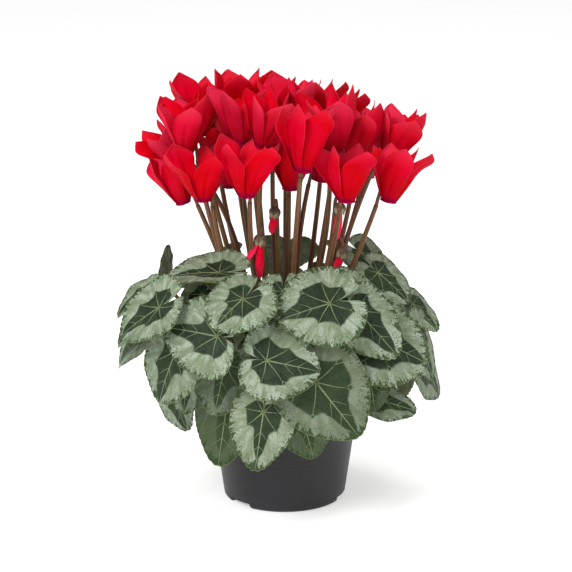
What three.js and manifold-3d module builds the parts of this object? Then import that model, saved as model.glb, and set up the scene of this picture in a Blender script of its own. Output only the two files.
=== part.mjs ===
// A potted cyclamen in millimetres, +Z up, with its origin under the middle of the whole plant.
// The pot, the soil, the tuber with its stalks, the leaves, the buds and the blooms are separate
// closed solids. The front of the plant faces -Y.

import * as THREE from 'three';
import { mergeVertices } from 'three/addons/utils/BufferGeometryUtils.js';
import Module from 'manifold-3d';

const wasm = await Module();
wasm.setup();

// Pot. The plant spreads further to the front and the left, so the pot's axis stands off the origin.
// Every shape below is made about that axis and moved there when it becomes a node.
const POT_AXIS = [4.35, 13.87];
const POT_HEIGHT = 95;
const POT_RIM_RADIUS = 61.5;
const POT_LIP_HEIGHT = 9;
const POT_LIP_DEPTH = 2;
const POT_BASE_RADIUS = 46;
const POT_WALL = 1.6;
const POT_FLOOR = 5;
const FOOT_HEIGHT = 3;
const FOOT_WIDTH = 7;
const NOTCH_WIDTH = 22;
const NOTCH_HEIGHT = 4;
const NOTCH_AZIMUTHS = [-138, -17, 102];
const ROUND_SIDES = 28;

// Soil and tuber
const GAP = 0.3;
const SOIL_TOP = 84;
const SOIL_CROWN = 87;
const TUBER_RADIUS = 20;
const TUBER_BOTTOM = 68;
const TUBER_TOP = 93;
const TUBER_SIDES = 12;
const FOOT_RADIUS = 6;
const FOOT_SIDES = 8;
const FOOT_REACH = 33;
const FOOT_BOTTOM = 76;
const FOOT_TOP = 92;
const PLANT_SHIFT = 1.1;

// Back of the canopy: the middle of each third, how far a leaf is tucked under its neighbour, and
// the tiers with their leaves' offsets from the middle.
const BACK_MIDDLES = [147, 93, 38];
const BACK_TUCK = 7;
const BACK_TIERS = [
  { radius: 66, height: 177, elevation: 50, offsets: [0] },
  { radius: 82, height: 146, elevation: 32, offsets: [-16, 16] },
  { radius: 94, height: 104, elevation: 12, offsets: [-16, 16] },
];

// Blades, stalks and blooms
const LEAF_THICKNESS = 0.9;
const PETAL_THICKNESS = 0.8;
const TOOTH = 0.045;
const OUTLINE_POINTS = 24;
const FEW_OUTLINE_POINTS = 16;
const SMALL_LEAF = 32;
const INNER_POINTS = 8;
const INNER_SHARE = 0.55;
const PETIOLE_RADIUS = 1.5;
const PETIOLE_CREST = 118;
const STALK_RADIUS = 1.7;
const BLOOM_HEIGHT = 46;
const MOUTH_RADIUS = 6;
const CUP_HEIGHT = 9;
const PETAL_WIDTH = 16;
const PETAL_FLARE = 12;
const STALK_OFFSET = 9.5;
const HOOK_START = 6;
const CROWN_RADIUS = 12;

const rad = THREE.MathUtils.degToRad;

// A number from 0 to 1 that depends only on two whole numbers.
function draw(i, j) {
  return (((i * 7919 + j * 104729 + 1) * 16807) % 2147483647) / 2147483647;
}

// Leaves: hub x, y, z, then the way the face looks (azimuth, elevation), the turn of the tip from
// straight down the slope, the length from hub to tip, the half breadth and the reach of the back
// lobes as shares of that length, and the fold, the droop of the tip and the droop of the sides.
const FRONT_LEAVES = [
  ['leaf_01', -48, -68, 193, -105, 76, -84, 38, 0.64, 0.62, 0.25, 0.12, 0.05],
  ['leaf_02', -30, -111, 186, -97, 58, -36, 31, 0.84, 0.70, 0.00, 0.15, 0.15],
  ['leaf_03', -48, -116, 160, -112, 28, -94, 45, 0.68, 0.30, 0.00, 0.10, 0.15],
  ['leaf_04', -90, -88, 173, -138, 45, -39, 37, 0.76, 0.60, 0.15, 0.10, 0.10],
  ['leaf_05', -60, -66, 177, -110, 40, -40, 19, 0.85, 0.50, 0.00, 0.10, 0.20],
  ['leaf_06', -78, -93, 143, -128, 15, -17, 43, 0.68, 0.45, 0.00, 0.10, 0.15],
  ['leaf_07', 31, -102, 180, -78, 40, -77, 39, 0.80, 0.66, 0.00, 0.10, 0.15],
  ['leaf_08', -14, -118, 143, -88, 20, 78, 39, 0.72, 0.46, 0.00, 0.10, 0.15],
  ['leaf_09', 49, -84, 171, -74, 32, 37, 46, 0.54, 0.24, 0.00, 0.10, 0.15],
  ['leaf_10', 63, -77, 147, -68, 30, 60, 47, 0.72, 0.50, 0.00, 0.10, 0.15],
  ['leaf_11', 41, -53, 177, -76, 45, 65, 29, 0.70, 0.35, 0.00, 0.10, 0.15],
  ['leaf_12', 60, -78, 102, -70, 45, 68, 37, 0.42, 0.30, 0.10, 0.10, 0.15],
  ['leaf_13', 21, -108, 124, -86, 8, 37, 52, 0.66, 0.50, 0.00, 0.10, 0.15],
  ['leaf_14', -16, -106, 101, -92, 4, -8, 45, 0.52, 0.34, 0.00, 0.05, 0.10],
  ['leaf_15', -42, -80, 102, -106, 0, -9, 54, 0.43, 0.45, 0.00, 0.05, 0.10],
  ['leaf_16', 12, -88, 89, -84, -4, 15, 33, 0.66, 0.50, 0.00, 0.05, 0.10],
  ['leaf_17', -43, -94, 133, -104, 6, -12, 40, 0.66, 0.45, 0.00, 0.05, 0.10],
  ['leaf_18', -22, -100, 157, -96, 32, -47, 19, 0.80, 0.60, 0.00, 0.10, 0.15],
  ['leaf_19', -2, -74, 181, -90, 50, -3, 26, 0.76, 0.60, 0.00, 0.10, 0.15],
  ['leaf_20', 61, -84, 115, -74, 15, 6, 21, 0.70, 0.45, 0.00, 0.05, 0.10],
];

// The leaves of one third of the back, in three tiers that fall away from the crown. The second
// leaf of a tier is tucked in under the first.
function backRows(third) {
  const middle = BACK_MIDDLES[third];
  return BACK_TIERS.flatMap(({ radius, height, elevation, offsets }, tier) => offsets.map((offset, i) => {
    const azimuth = middle + offset + 4 * (draw(third, 10 * tier + i) - 0.5);
    const turn = 30 * (draw(third, 40 + 10 * tier + i) - 0.5);
    const length = 38 + 4 * draw(third, 80 + 10 * tier + i);
    const reach = radius - i * BACK_TUCK;
    const x = reach * Math.cos(rad(azimuth));
    const y = reach * Math.sin(rad(azimuth));
    return [x, y, height - i * BACK_TUCK, azimuth, elevation, turn, length, 0.70, 0.45, 0.00, 0.12, 0.08];
  }));
}

// Leaves of the sides and the back, in groups that share a foot in the soil at an azimuth. Their
// rows are as above without a name.
const LEAF_GROUPS = [
  {
    name: 'leaves_right',
    azimuth: -5,
    rows: [
      [56, 8, 188, -55, 45, 37, 22, 0.80, 0.60, 0.10, 0.10, 0.10],
      [68, -16, 179, -50, 50, 25, 32, 0.72, 0.50, 0.00, 0.10, 0.15],
      [95, 0, 150, -30, 50, 11, 28, 0.72, 0.50, 0.10, 0.10, 0.15],
      [97, -24, 132, -30, 15, 24, 40, 0.62, 0.50, 0.00, 0.10, 0.15],
      [104, -18, 108, -25, 15, 31, 35, 0.62, 0.50, 0.00, 0.10, 0.15],
    ],
  },
  {
    name: 'leaves_left',
    azimuth: -172,
    rows: [
      [-71, -60, 116, -122, 8, -6, 33, 0.60, 0.45, 0.10, 0.05, 0.10],
      [-85, -48, 97, -130, 0, 27, 32, 0.60, 0.45, 0.00, 0.05, 0.10],
      [-88, -14, 177, -20, 10, 174, 22, 0.60, 0.50, 0.00, -0.20, 0.10],
      [-101, -20, 166, -150, 50, -30, 33, 0.42, 0.40, 0.30, 0.10, 0.10],
      [-99, -34, 151, -150, 40, -38, 40, 0.42, 0.40, 0.30, 0.10, 0.10],
      [-100, -22, 138, -155, 30, -40, 51, 0.42, 0.40, 0.30, 0.10, 0.10],
    ],
  },
  { name: 'leaves_back_left', azimuth: 140, rows: backRows(0) },
  { name: 'leaves_back', azimuth: 92, rows: backRows(1) },
  { name: 'leaves_back_right', azimuth: 44, rows: backRows(2) },
];

// Buds: calyx x, y, z, the way the bud hangs out (azimuth, angle), its length and its hook's reach.
const BUDS = [
  ['bud_01', -19, -52, 215, 0, 0, 32, 6],
  ['bud_02', -8, -34, 231, 180, 8, 19, 6],
  ['bud_03', 42, -32, 200, 180, 20, 18, 8],
  ['bud_04', 39, -46, 237, 180, 6, 27, 6],
];
const BUD_RINGS = [[0.7, 3.6], [0.3, 3], [0.1, 3.4]];
const BUD_SIDES = 6;

// Blooms: mouth x, y, z, the way the head leans (azimuth, angle), its spin, size and flare.
const BLOOMS = [
  ['bloom_01', -75, -22, 234, 185, 18, 40, 0.95, 1.00],
  ['bloom_02', -59, -61, 245, 180, 2, -10, 1.00, 1.00],
  ['bloom_03', -28, -78, 252, 0, 4, 5, 1.00, 1.00],
  ['bloom_04', 12, -78, 270, 0, 4, 0, 1.05, 0.85],
  ['bloom_05', 43, -72, 247, 0, 2, -8, 1.00, 1.00],
  ['bloom_06', 74, -46, 241, 0, 12, 34, 1.00, 0.90],
  ['bloom_07', 75, -16, 262, 0, 18, 50, 1.00, 0.95],
  ['bloom_08', -72, -38, 274, 180, 3, 48, 0.92, 1.00],
  ['bloom_09', -41, -1, 241, 180, 3, 36, 0.95, 1.00],
  ['bloom_10', -32, -23, 279, 180, 3, 20, 1.00, 1.00],
  ['bloom_11', -17, -56, 283, 0, 10, 6, 0.90, 0.90],
  ['bloom_12', 35, -50, 278, 180, 6, -4, 1.00, 1.00],
  ['bloom_13', 25, -10, 248, 0, 12, 46, 1.00, 0.90],
  ['bloom_14', 3, -30, 246, 0, 2, 32, 0.95, 0.90],
  ['bloom_15', 60, 10, 246, 0, 5, 0, 0.95, 1.00],
  ['bloom_16', 3, -25, 285, 0, 0, 36, 0.95, 0.85],
  ['bloom_17', -71, -6, 271, 180, 8, 6, 0.90, 1.00],
  ['bloom_18', -62, 30, 274, 180, 2, -16, 1.00, 1.00],
  ['bloom_19', -33, 10, 283, 180, 2, 40, 1.00, 1.00],
  ['bloom_20', -15, 34, 274, 0, 2, 12, 1.00, 1.00],
  ['bloom_21', 20, 18, 275, 0, 0, 36, 0.95, 0.95],
  ['bloom_22', 34, 50, 260, 0, 2, 20, 1.00, 1.00],
  ['bloom_23', 51, -26, 266, 0, 2, 44, 0.95, 0.90],
  ['bloom_24', 70, 48, 247, 0, 10, 0, 0.95, 1.00],
  ['bloom_25', -46, 60, 261, 180, 4, 30, 1.00, 1.00],
  ['bloom_26', 0, 69, 262, 0, 0, 0, 1.00, 1.00],
  ['bloom_27', 42, 84, 248, 0, 4, 0, 1.00, 1.00],
  ['bloom_28', -77, 16, 249, 185, 36, 34, 0.90, 1.00],
];

function solid(geometry) {
  const bare = geometry.clone();
  bare.deleteAttribute('normal');
  bare.deleteAttribute('uv');
  const merged = mergeVertices(bare, 1e-4);
  return new wasm.Manifold(new wasm.Mesh({
    numProp: 3,
    vertProperties: new Float32Array(merged.attributes.position.array),
    triVerts: new Uint32Array(merged.index.array),
  }));
}

function unite(solids) {
  return solids.reduce((sum, piece) => sum.add(piece));
}

function geometryOf(body) {
  const mesh = body.getMesh();
  const geometry = new THREE.BufferGeometry();
  geometry.setAttribute('position', new THREE.BufferAttribute(new Float32Array(mesh.vertProperties), 3));
  geometry.setIndex(new THREE.BufferAttribute(new Uint32Array(mesh.triVerts), 1));
  return geometry;
}

// A solid of revolution about Z from [radius, height] pairs.
function turned(profile, sides) {
  const points = profile.map(([radius, height]) => new THREE.Vector2(radius, height));
  const lathe = new THREE.LatheGeometry(points, sides);
  lathe.rotateX(Math.PI / 2);
  return solid(lathe);
}

// A tube of a few sides along a smooth curve.
function tube(curve, radius, sides, steps) {
  const section = new THREE.Shape();
  for (let i = 0; i < sides; i += 1) {
    const angle = (2 * Math.PI * i) / sides;
    const corner = [radius * Math.cos(angle), radius * Math.sin(angle)];
    if (i === 0) section.moveTo(...corner);
    else section.lineTo(...corner);
  }
  section.closePath();
  return solid(new THREE.ExtrudeGeometry(section, { steps, bevelEnabled: false, extrudePath: curve }));
}

// A thin blade: the upper face, the same triangles under it, and a rim round the outline. Where the
// blade folds sharply, the way from the lower point to the upper one is given for that point.
function blade(points, faces, outline, thickness, folds = []) {
  const upper = new THREE.BufferGeometry();
  upper.setAttribute('position', new THREE.Float32BufferAttribute(points.flatMap((p) => p.toArray()), 3));
  upper.setIndex(faces.flat());
  upper.computeVertexNormals();
  const normals = upper.attributes.normal;
  folds.forEach(([i, way]) => normals.setXYZ(i, way.x, way.y, way.z));
  const count = points.length;
  const positions = points.flatMap((p) => p.toArray());
  points.forEach((p, i) => {
    const down = new THREE.Vector3().fromBufferAttribute(normals, i).multiplyScalar(-thickness);
    positions.push(...down.add(p).toArray());
  });
  const triangles = faces.flat();
  faces.forEach(([a, b, c]) => triangles.push(a + count, c + count, b + count));
  outline.forEach((a, i) => {
    const b = outline[(i + 1) % outline.length];
    triangles.push(a, a + count, b + count, a, b + count, b);
  });
  const geometry = new THREE.BufferGeometry();
  geometry.setAttribute('position', new THREE.Float32BufferAttribute(positions, 3));
  geometry.setIndex(triangles);
  return solid(geometry);
}

// The frame of a leaf: its face normal, the direction of its tip and the direction across it.
function leafFrame(row) {
  const [, x, y, z, azimuth, elevation, turn] = row;
  const az = rad(azimuth);
  const el = rad(elevation);
  const [ca, sa, ce, se] = [Math.cos(az), Math.sin(az), Math.cos(el), Math.sin(el)];
  const normal = new THREE.Vector3(ca * ce, sa * ce, se);
  const downhill = new THREE.Vector3(ca * se, sa * se, -ce);
  const level = new THREE.Vector3(-Math.sin(az), Math.cos(az), 0);
  const along = downhill.multiplyScalar(Math.cos(rad(turn))).addScaledVector(level, Math.sin(rad(turn)));
  const across = new THREE.Vector3().crossVectors(normal, along);
  return { hub: new THREE.Vector3(x + PLANT_SHIFT, y, z), normal, along, across };
}

// Distance from the hub to the edge at an angle from the tip, for a heart-shaped blade.
function leafReach(angle, length, breadth, back) {
  const turn = Math.abs(angle);
  const point = 0.6 * Math.cos(turn) ** 2 + 0.4 * Math.exp(-((turn / 0.3) ** 2));
  const front = breadth + (1 - breadth) * point;
  const rear = breadth + (back - breadth) * Math.cos(turn) ** 2;
  const notch = 1 - 0.85 * Math.exp(-(((Math.PI - turn) / 0.22) ** 2));
  return length * (turn < Math.PI / 2 ? front : rear * notch);
}

// A point on the upper face at a share of the reach and an angle, with its droop, fold and wave.
function leafPoint(frame, row, index, share, angle, tooth) {
  const [, , , , , , , length, breadth, back, fold, bend, bow] = row;
  const radius = share * leafReach(angle, length, breadth, back) * (1 + tooth);
  const a = radius * Math.cos(angle);
  const b = radius * Math.sin(angle);
  const phase = 6.28 * draw(index, 3);
  const wave = 0.03 * length * share ** 3 * Math.sin(4 * angle + phase);
  const height = fold * Math.abs(b) - (bend * a * Math.abs(a)) / length - (bow * b * b) / length + wave;
  return frame.hub.clone()
    .addScaledVector(frame.along, a)
    .addScaledVector(frame.across, b)
    .addScaledVector(frame.normal, height);
}

// A heart-shaped blade with a toothed edge: hub, a ring half way out and the outline.
function leafBlade(row, index, outlinePoints) {
  const frame = leafFrame(row);
  const points = [frame.hub.clone()];
  for (let i = 0; i < INNER_POINTS; i += 1) {
    points.push(leafPoint(frame, row, index, INNER_SHARE, (2 * Math.PI * i) / INNER_POINTS, 0));
  }
  for (let i = 0; i < outlinePoints; i += 1) {
    const angle = (2 * Math.PI * i) / outlinePoints;
    const signed = angle > Math.PI ? angle - 2 * Math.PI : angle;
    points.push(leafPoint(frame, row, index, 1, signed, i % 2 === 0 ? TOOTH : -TOOTH));
  }
  const ratio = outlinePoints / INNER_POINTS;
  const inner = (i) => 1 + (i % INNER_POINTS);
  const outer = (i) => 1 + INNER_POINTS + (i % outlinePoints);
  const faces = [];
  for (let i = 0; i < INNER_POINTS; i += 1) {
    faces.push([0, inner(i), inner(i + 1)]);
    for (let k = 0; k < ratio; k += 1) {
      const nearer = k < ratio / 2 ? inner(i) : inner(i + 1);
      faces.push([nearer, outer(i * ratio + k), outer(i * ratio + k + 1)]);
    }
    faces.push([inner(i), outer(i * ratio + Math.ceil(ratio / 2)), inner(i + 1)]);
  }
  const outline = Array.from({ length: outlinePoints }, (_, i) => outer(i));
  return blade(points, faces, outline, LEAF_THICKNESS);
}

// A point on a petal, in the bloom's own frame: the mouth's middle is at the origin and the axis
// is up. t runs from the mouth to the tip and s across the petal. The petal leaves the ring,
// leans out, twists about its own middle line and bends its sides towards the axis.
function petalPoint(row, index, petal, t, s) {
  const [, , , , , , spin, size, flare] = row;
  const lean = flare * (0.85 + 0.3 * draw(index, petal));
  const height = BLOOM_HEIGHT * size * (0.92 + 0.12 * draw(index, petal + 10));
  const azimuth = rad(spin + 72 * petal + 14 * t);
  const twist = rad(8 + 38 * t);
  const radius = (MOUTH_RADIUS + PETAL_FLARE * lean * (1 - (1 - t) ** 1.6)) * size;
  const half = PETAL_WIDTH * size * (0.30 * (1 - t) ** 1.5 + 0.9 * t ** 0.8 * (1.05 - t ** 4) ** 0.5);
  const out = new THREE.Vector3(Math.cos(azimuth), Math.sin(azimuth), 0);
  const side = new THREE.Vector3(-Math.sin(azimuth), Math.cos(azimuth), 0);
  const point = new THREE.Vector3(0, 0, height * t);
  point.addScaledVector(out, radius - 0.22 * half * s * s + half * s * Math.sin(twist));
  return point.addScaledVector(side, half * s * Math.cos(twist));
}

// The axes of a bloom: up is its own axis, and inward is the level way to the stalk's side.
function bloomFrame(row) {
  const [, x, y, z, azimuth, angle] = row;
  const az = rad(azimuth);
  const up = new THREE.Vector3(Math.cos(az) * Math.sin(rad(angle)), Math.sin(az) * Math.sin(rad(angle)),
    Math.cos(rad(angle)));
  const along = new THREE.Vector3(1, 0, 0).addScaledVector(up, -up.x).normalize();
  const across = new THREE.Vector3().crossVectors(up, along);
  const mouth = new THREE.Vector3(x + PLANT_SHIFT, y, z);
  const inward = new THREE.Vector3(-x, 12 - y, 0);
  inward.addScaledVector(up, -up.dot(inward)).normalize();
  return { mouth, up, along, across, inward };
}

function inBloom(frame, p) {
  return frame.mouth.clone()
    .addScaledVector(frame.along, p.x)
    .addScaledVector(frame.across, p.y)
    .addScaledVector(frame.up, p.z);
}

// The middle of the stalk beside the bloom, at a distance from its axis and a height on it.
function besideBloom(frame, offset, height) {
  return frame.mouth.clone().addScaledVector(frame.inward, offset).addScaledVector(frame.up, height);
}

// The corners of a petal above its two corners on the mouth, a and b: two at the middle, three at
// the shoulder and two at the tip. Its triangles and its free edge follow.
const PETAL_CORNERS = [[0.42, -1], [0.42, 1], [0.8, -1], [0.8, 0], [0.8, 1], [0.98, -0.8], [1, 0.6]];
const PETAL_FACES = [['a', 'b', 1], ['a', 1, 0], [0, 1, 3], [0, 3, 2], [1, 4, 3], [2, 3, 5], [3, 6, 5],
  [3, 4, 6]];
const PETAL_EDGE = [1, 4, 6, 5, 2, 0];
const PETALS = 5;

// The corolla is one thin sheet: the cup, the ring of its mouth and five petals turned up from it.
function corolla(row, index, frame) {
  const size = row[7];
  const points = [inBloom(frame, new THREE.Vector3(0, 0, CUP_HEIGHT * size))];
  for (let k = 0; k < PETALS; k += 1) {
    points.push(inBloom(frame, petalPoint(row, index, k, 0, -1)));
  }
  const faces = [];
  const outline = [];
  for (let k = PETALS - 1; k >= 0; k -= 1) {
    const mouth = { a: 1 + k, b: 1 + ((k + 1) % PETALS) };
    const first = points.length;
    const corner = (name) => (name in mouth ? mouth[name] : first + name);
    PETAL_CORNERS.forEach(([t, s]) => points.push(inBloom(frame, petalPoint(row, index, k, t, s))));
    PETAL_FACES.forEach((face) => faces.push(face.map(corner)));
    faces.push([0, mouth.b, mouth.a]);
    outline.push(mouth.b, ...PETAL_EDGE.map(corner));
  }
  const down = frame.up.clone().negate();
  const folds = Array.from({ length: PETALS }, (_, k) => [1 + k, down]);
  return blade(points, faces, outline, PETAL_THICKNESS, folds);
}

// The end of a stalk beside the bloom, which passes between two petals and hooks over the cup.
function bloomHook(row, frame) {
  const size = row[7];
  return tube(new THREE.CatmullRomCurve3([
    besideBloom(frame, STALK_OFFSET, -HOOK_START),
    besideBloom(frame, STALK_OFFSET, 10),
    besideBloom(frame, 0.35 * STALK_OFFSET, (CUP_HEIGHT + 7) * size),
    besideBloom(frame, 0, (CUP_HEIGHT - 0.5) * size),
  ]), STALK_RADIUS, 3, 3);
}

function bloom(row, index) {
  const frame = bloomFrame(row);
  return corolla(row, index, frame).add(bloomHook(row, frame));
}

// The outer face of the pot's wall at a height.
function wallRadius(height) {
  const spread = POT_RIM_RADIUS - POT_LIP_DEPTH - POT_BASE_RADIUS;
  return POT_BASE_RADIUS + (spread * height) / POT_HEIGHT;
}

// The pot: a turned shell with a lip, standing on a foot ring that is cut by drain notches.
function pot() {
  const lip = POT_HEIGHT - POT_LIP_HEIGHT;
  const shell = turned([
    [0, FOOT_HEIGHT], [POT_BASE_RADIUS - FOOT_WIDTH, FOOT_HEIGHT], [POT_BASE_RADIUS - FOOT_WIDTH + 1, 0],
    [POT_BASE_RADIUS - 1.5, 0], [wallRadius(1.5), 1.5], [wallRadius(lip), lip], [POT_RIM_RADIUS, lip],
    [POT_RIM_RADIUS, POT_HEIGHT], [wallRadius(POT_HEIGHT) - POT_WALL, POT_HEIGHT],
    [wallRadius(POT_FLOOR) - POT_WALL, POT_FLOOR], [0, POT_FLOOR],
  ], ROUND_SIDES);
  const notches = NOTCH_AZIMUTHS.map((azimuth) => {
    const box = new THREE.BoxGeometry(2 * FOOT_WIDTH, NOTCH_WIDTH, 2 * NOTCH_HEIGHT);
    box.translate(POT_BASE_RADIUS, 0, 0);
    box.rotateZ(rad(azimuth));
    return solid(box);
  });
  return notches.reduce((body, notch) => body.subtract(notch), shell);
}

// A round post about a vertical axis.
function post(x, y, radius, bottom, top, sides) {
  return turned([[0, bottom], [radius, bottom], [radius, top], [0, top]], sides).translate([x, y, 0]);
}

function footAt(azimuth) {
  return [FOOT_REACH * Math.cos(rad(azimuth)), FOOT_REACH * Math.sin(rad(azimuth))];
}

// The soil fills the pot to below its rim, with plain holes for the tuber and the feet of the groups.
function soil() {
  const inner = (height) => wallRadius(height) - POT_WALL - GAP;
  const fill = turned([
    [0, POT_FLOOR + GAP], [inner(POT_FLOOR + GAP), POT_FLOOR + GAP], [inner(SOIL_TOP), SOIL_TOP],
    [TUBER_RADIUS + 6, SOIL_CROWN], [TUBER_RADIUS + GAP, SOIL_CROWN],
    [TUBER_RADIUS + GAP, TUBER_BOTTOM - GAP], [0, TUBER_BOTTOM - GAP],
  ], ROUND_SIDES);
  const holes = LEAF_GROUPS.map(({ azimuth }) => (
    post(...footAt(azimuth), FOOT_RADIUS + GAP, FOOT_BOTTOM - GAP, SOIL_CROWN + 5, FOOT_SIDES)
  ));
  return holes.reduce((body, hole) => body.subtract(hole), fill);
}

// The tuber, from which the stalks and the petioles of the single leaves rise.
function tuber() {
  return turned([
    [0, TUBER_BOTTOM], [TUBER_RADIUS, TUBER_BOTTOM], [TUBER_RADIUS, SOIL_CROWN],
    [0.7 * TUBER_RADIUS, TUBER_TOP - 1], [0, TUBER_TOP],
  ], TUBER_SIDES);
}

// A stalk from the crown to the end given: it swings out low down, then rises into the bloom's axis.
function stalk(end, up) {
  const start = end.clone().setZ(0).clampLength(0, CROWN_RADIUS).setZ(TUBER_TOP - 5);
  const rise = end.z - start.z;
  const low = new THREE.Vector3(0.45 * end.x, 0.2 * end.y, start.z + 0.3 * rise);
  const high = end.clone().addScaledVector(up, -0.4 * rise);
  high.x *= 0.9;
  high.y *= 0.65;
  return tube(new THREE.CubicBezierCurve3(start, low, high, end), STALK_RADIUS, 3, 4);
}

// A petiole from its start in the crown, rising, and meeting the underside of its leaf.
function petiole(row, start) {
  const frame = leafFrame(row);
  const drop = Math.max(0, PETIOLE_CREST - frame.hub.z);
  const end = frame.hub.clone().addScaledVector(frame.normal, -LEAF_THICKNESS - 1.5 * GAP - 0.015 * drop);
  const level = end.clone().sub(start).setZ(0);
  const rise = Math.max(end.z - start.z, 0);
  const low = start.clone().addScaledVector(level, 0.25).setZ(start.z + Math.max(0.5 * rise + 12, 38));
  const high = end.clone().addScaledVector(frame.normal, -24);
  high.z += 0.5 * drop;
  return tube(new THREE.CubicBezierCurve3(start, low, high, end), PETIOLE_RADIUS, 3, 4);
}

function crownPetiole(row) {
  const { hub } = leafFrame(row);
  const start = hub.clone().setZ(0).setLength(0.75 * TUBER_RADIUS).setZ(TUBER_TOP - 6);
  return petiole(row, start);
}

// A group of leaves whose petioles rise from one foot in the soil, fused into one body.
function leafGroup({ azimuth, rows }, index) {
  const [x, y] = footAt(azimuth);
  const foot = post(x, y, FOOT_RADIUS, FOOT_BOTTOM, FOOT_TOP, FOOT_SIDES);
  const start = new THREE.Vector3(x, y, FOOT_TOP - 3.5);
  const leaves = rows.map((row, i) => {
    const full = ['', ...row];
    const { normal, along } = leafFrame(full);
    const seat = normal.multiplyScalar(1.0).addScaledVector(along, 0.1 * full[7]);
    const reached = petiole(full, start).translate(seat.toArray());
    return leafBlade(full, 40 + 10 * index + i, FEW_OUTLINE_POINTS).add(reached);
  });
  return unite([foot, ...leaves]);
}

// The middle line of a bud's stalk where it hooks over, from beside the calyx to its top.
function budHook(row) {
  const [, x, y, z, , , , reach] = row;
  const calyx = new THREE.Vector3(x + PLANT_SHIFT, y, z);
  const inward = new THREE.Vector3(-x, -y, 0).setLength(reach);
  const steps = [[1, -reach], [0.95, 0.2 * reach], [0.5, 0.9 * reach], [0, -1]];
  return steps.map(([share, rise]) => {
    const point = calyx.clone().addScaledVector(inward, share);
    return point.setZ(point.z + rise);
  });
}

// A bud: furled petals that hang from a calyx, and the hooked end of the stalk that carries it.
function bud(row) {
  const [, , , , azimuth, angle, length] = row;
  const hook = budHook(row);
  const rings = BUD_RINGS.map(([share, radius]) => [radius, -share * length]);
  const furled = turned([[0, -length], ...rings, [0, 1.5]], BUD_SIDES);
  const lean = new THREE.Matrix4().makeRotationAxis(
    new THREE.Vector3(Math.sin(rad(azimuth)), -Math.cos(rad(azimuth)), 0), rad(angle));
  lean.setPosition(hook[3].x, hook[3].y, hook[3].z + 1);
  const stalkEnd = tube(new THREE.CatmullRomCurve3(hook), STALK_RADIUS - 0.3, 3, 4);
  return furled.transform(lean.toArray()).add(stalkEnd);
}

const group = new THREE.Group();

function addNode(name, body, material) {
  const mesh = new THREE.Mesh(geometryOf(body.translate([...POT_AXIS, 0])), material);
  mesh.name = name;
  group.add(mesh);
}

const leafGreen = new THREE.MeshStandardMaterial({ color: 0x6f8a72, roughness: 0.55, metalness: 0 });
const petalRed = new THREE.MeshStandardMaterial({ color: 0xdc0a28, roughness: 0.6, metalness: 0 });
const potGrey = new THREE.MeshStandardMaterial({ color: 0x303032, roughness: 0.5, metalness: 0 });
const soilBrown = new THREE.MeshStandardMaterial({ color: 0x3a2a1e, roughness: 0.95, metalness: 0 });
const stalkBrown = new THREE.MeshStandardMaterial({ color: 0x7a5244, roughness: 0.6, metalness: 0 });

addNode('pot', pot(), potGrey);
addNode('soil', soil(), soilBrown);
const stalks = BLOOMS.map((row) => {
  const frame = bloomFrame(row);
  return stalk(besideBloom(frame, STALK_OFFSET, -HOOK_START - 2 * GAP), frame.up);
});
const budStalks = BUDS.map((row) => {
  const end = budHook(row)[0];
  end.z -= 1.5 * GAP;
  return stalk(end, new THREE.Vector3(0, 0, 1));
});
const petioles = FRONT_LEAVES.map(crownPetiole);
addNode('stems', unite([tuber(), ...stalks, ...budStalks, ...petioles]), stalkBrown);
FRONT_LEAVES.forEach((row, i) => {
  const outlinePoints = row[7] < SMALL_LEAF ? FEW_OUTLINE_POINTS : OUTLINE_POINTS;
  addNode(row[0], leafBlade(row, i, outlinePoints), leafGreen);
});
LEAF_GROUPS.forEach((entry, i) => addNode(entry.name, leafGroup(entry, i), leafGreen));
BLOOMS.forEach((row, i) => addNode(row[0], bloom(row, i), petalRed));
BUDS.forEach((row) => addNode(row[0], bud(row), petalRed));

export default group;
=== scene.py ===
"""The looks of a potted cyclamen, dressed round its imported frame: pot, soil, stalks, leaves, blooms.

Everything is in metres in the frame's own axes. Rows of leaves, blooms and buds are in millimetres,
about the pot's axis. MM brings them to metres, and POT_AXIS to where the frame has the pot.
"""

import math

import bpy
import numpy as np
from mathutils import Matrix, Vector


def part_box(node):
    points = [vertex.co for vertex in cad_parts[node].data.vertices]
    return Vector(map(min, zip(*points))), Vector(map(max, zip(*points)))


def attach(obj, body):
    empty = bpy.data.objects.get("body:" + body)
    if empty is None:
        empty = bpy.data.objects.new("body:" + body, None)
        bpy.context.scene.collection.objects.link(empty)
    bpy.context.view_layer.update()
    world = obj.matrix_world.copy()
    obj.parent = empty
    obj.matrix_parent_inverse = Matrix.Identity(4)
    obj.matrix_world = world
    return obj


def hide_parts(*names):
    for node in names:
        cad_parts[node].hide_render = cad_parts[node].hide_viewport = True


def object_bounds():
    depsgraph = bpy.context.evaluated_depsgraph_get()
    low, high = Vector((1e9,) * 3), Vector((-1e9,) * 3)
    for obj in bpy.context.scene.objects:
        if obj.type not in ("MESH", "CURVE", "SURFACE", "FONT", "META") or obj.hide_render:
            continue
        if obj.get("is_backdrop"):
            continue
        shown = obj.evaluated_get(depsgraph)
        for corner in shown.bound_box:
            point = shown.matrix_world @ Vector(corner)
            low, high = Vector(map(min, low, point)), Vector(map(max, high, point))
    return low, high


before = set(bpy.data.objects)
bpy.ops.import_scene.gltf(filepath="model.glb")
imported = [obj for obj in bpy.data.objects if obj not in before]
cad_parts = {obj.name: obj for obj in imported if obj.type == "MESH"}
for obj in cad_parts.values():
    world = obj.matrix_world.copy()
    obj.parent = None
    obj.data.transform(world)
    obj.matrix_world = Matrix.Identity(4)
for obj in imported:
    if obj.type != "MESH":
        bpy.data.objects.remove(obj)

FRAME_BOX = [list(corner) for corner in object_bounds()]
POT_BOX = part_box("pot")
SOIL_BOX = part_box("soil")
POT_AXIS = [(low + high) / 2 for low, high in zip(*POT_BOX)][:2] + [0.0]

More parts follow.
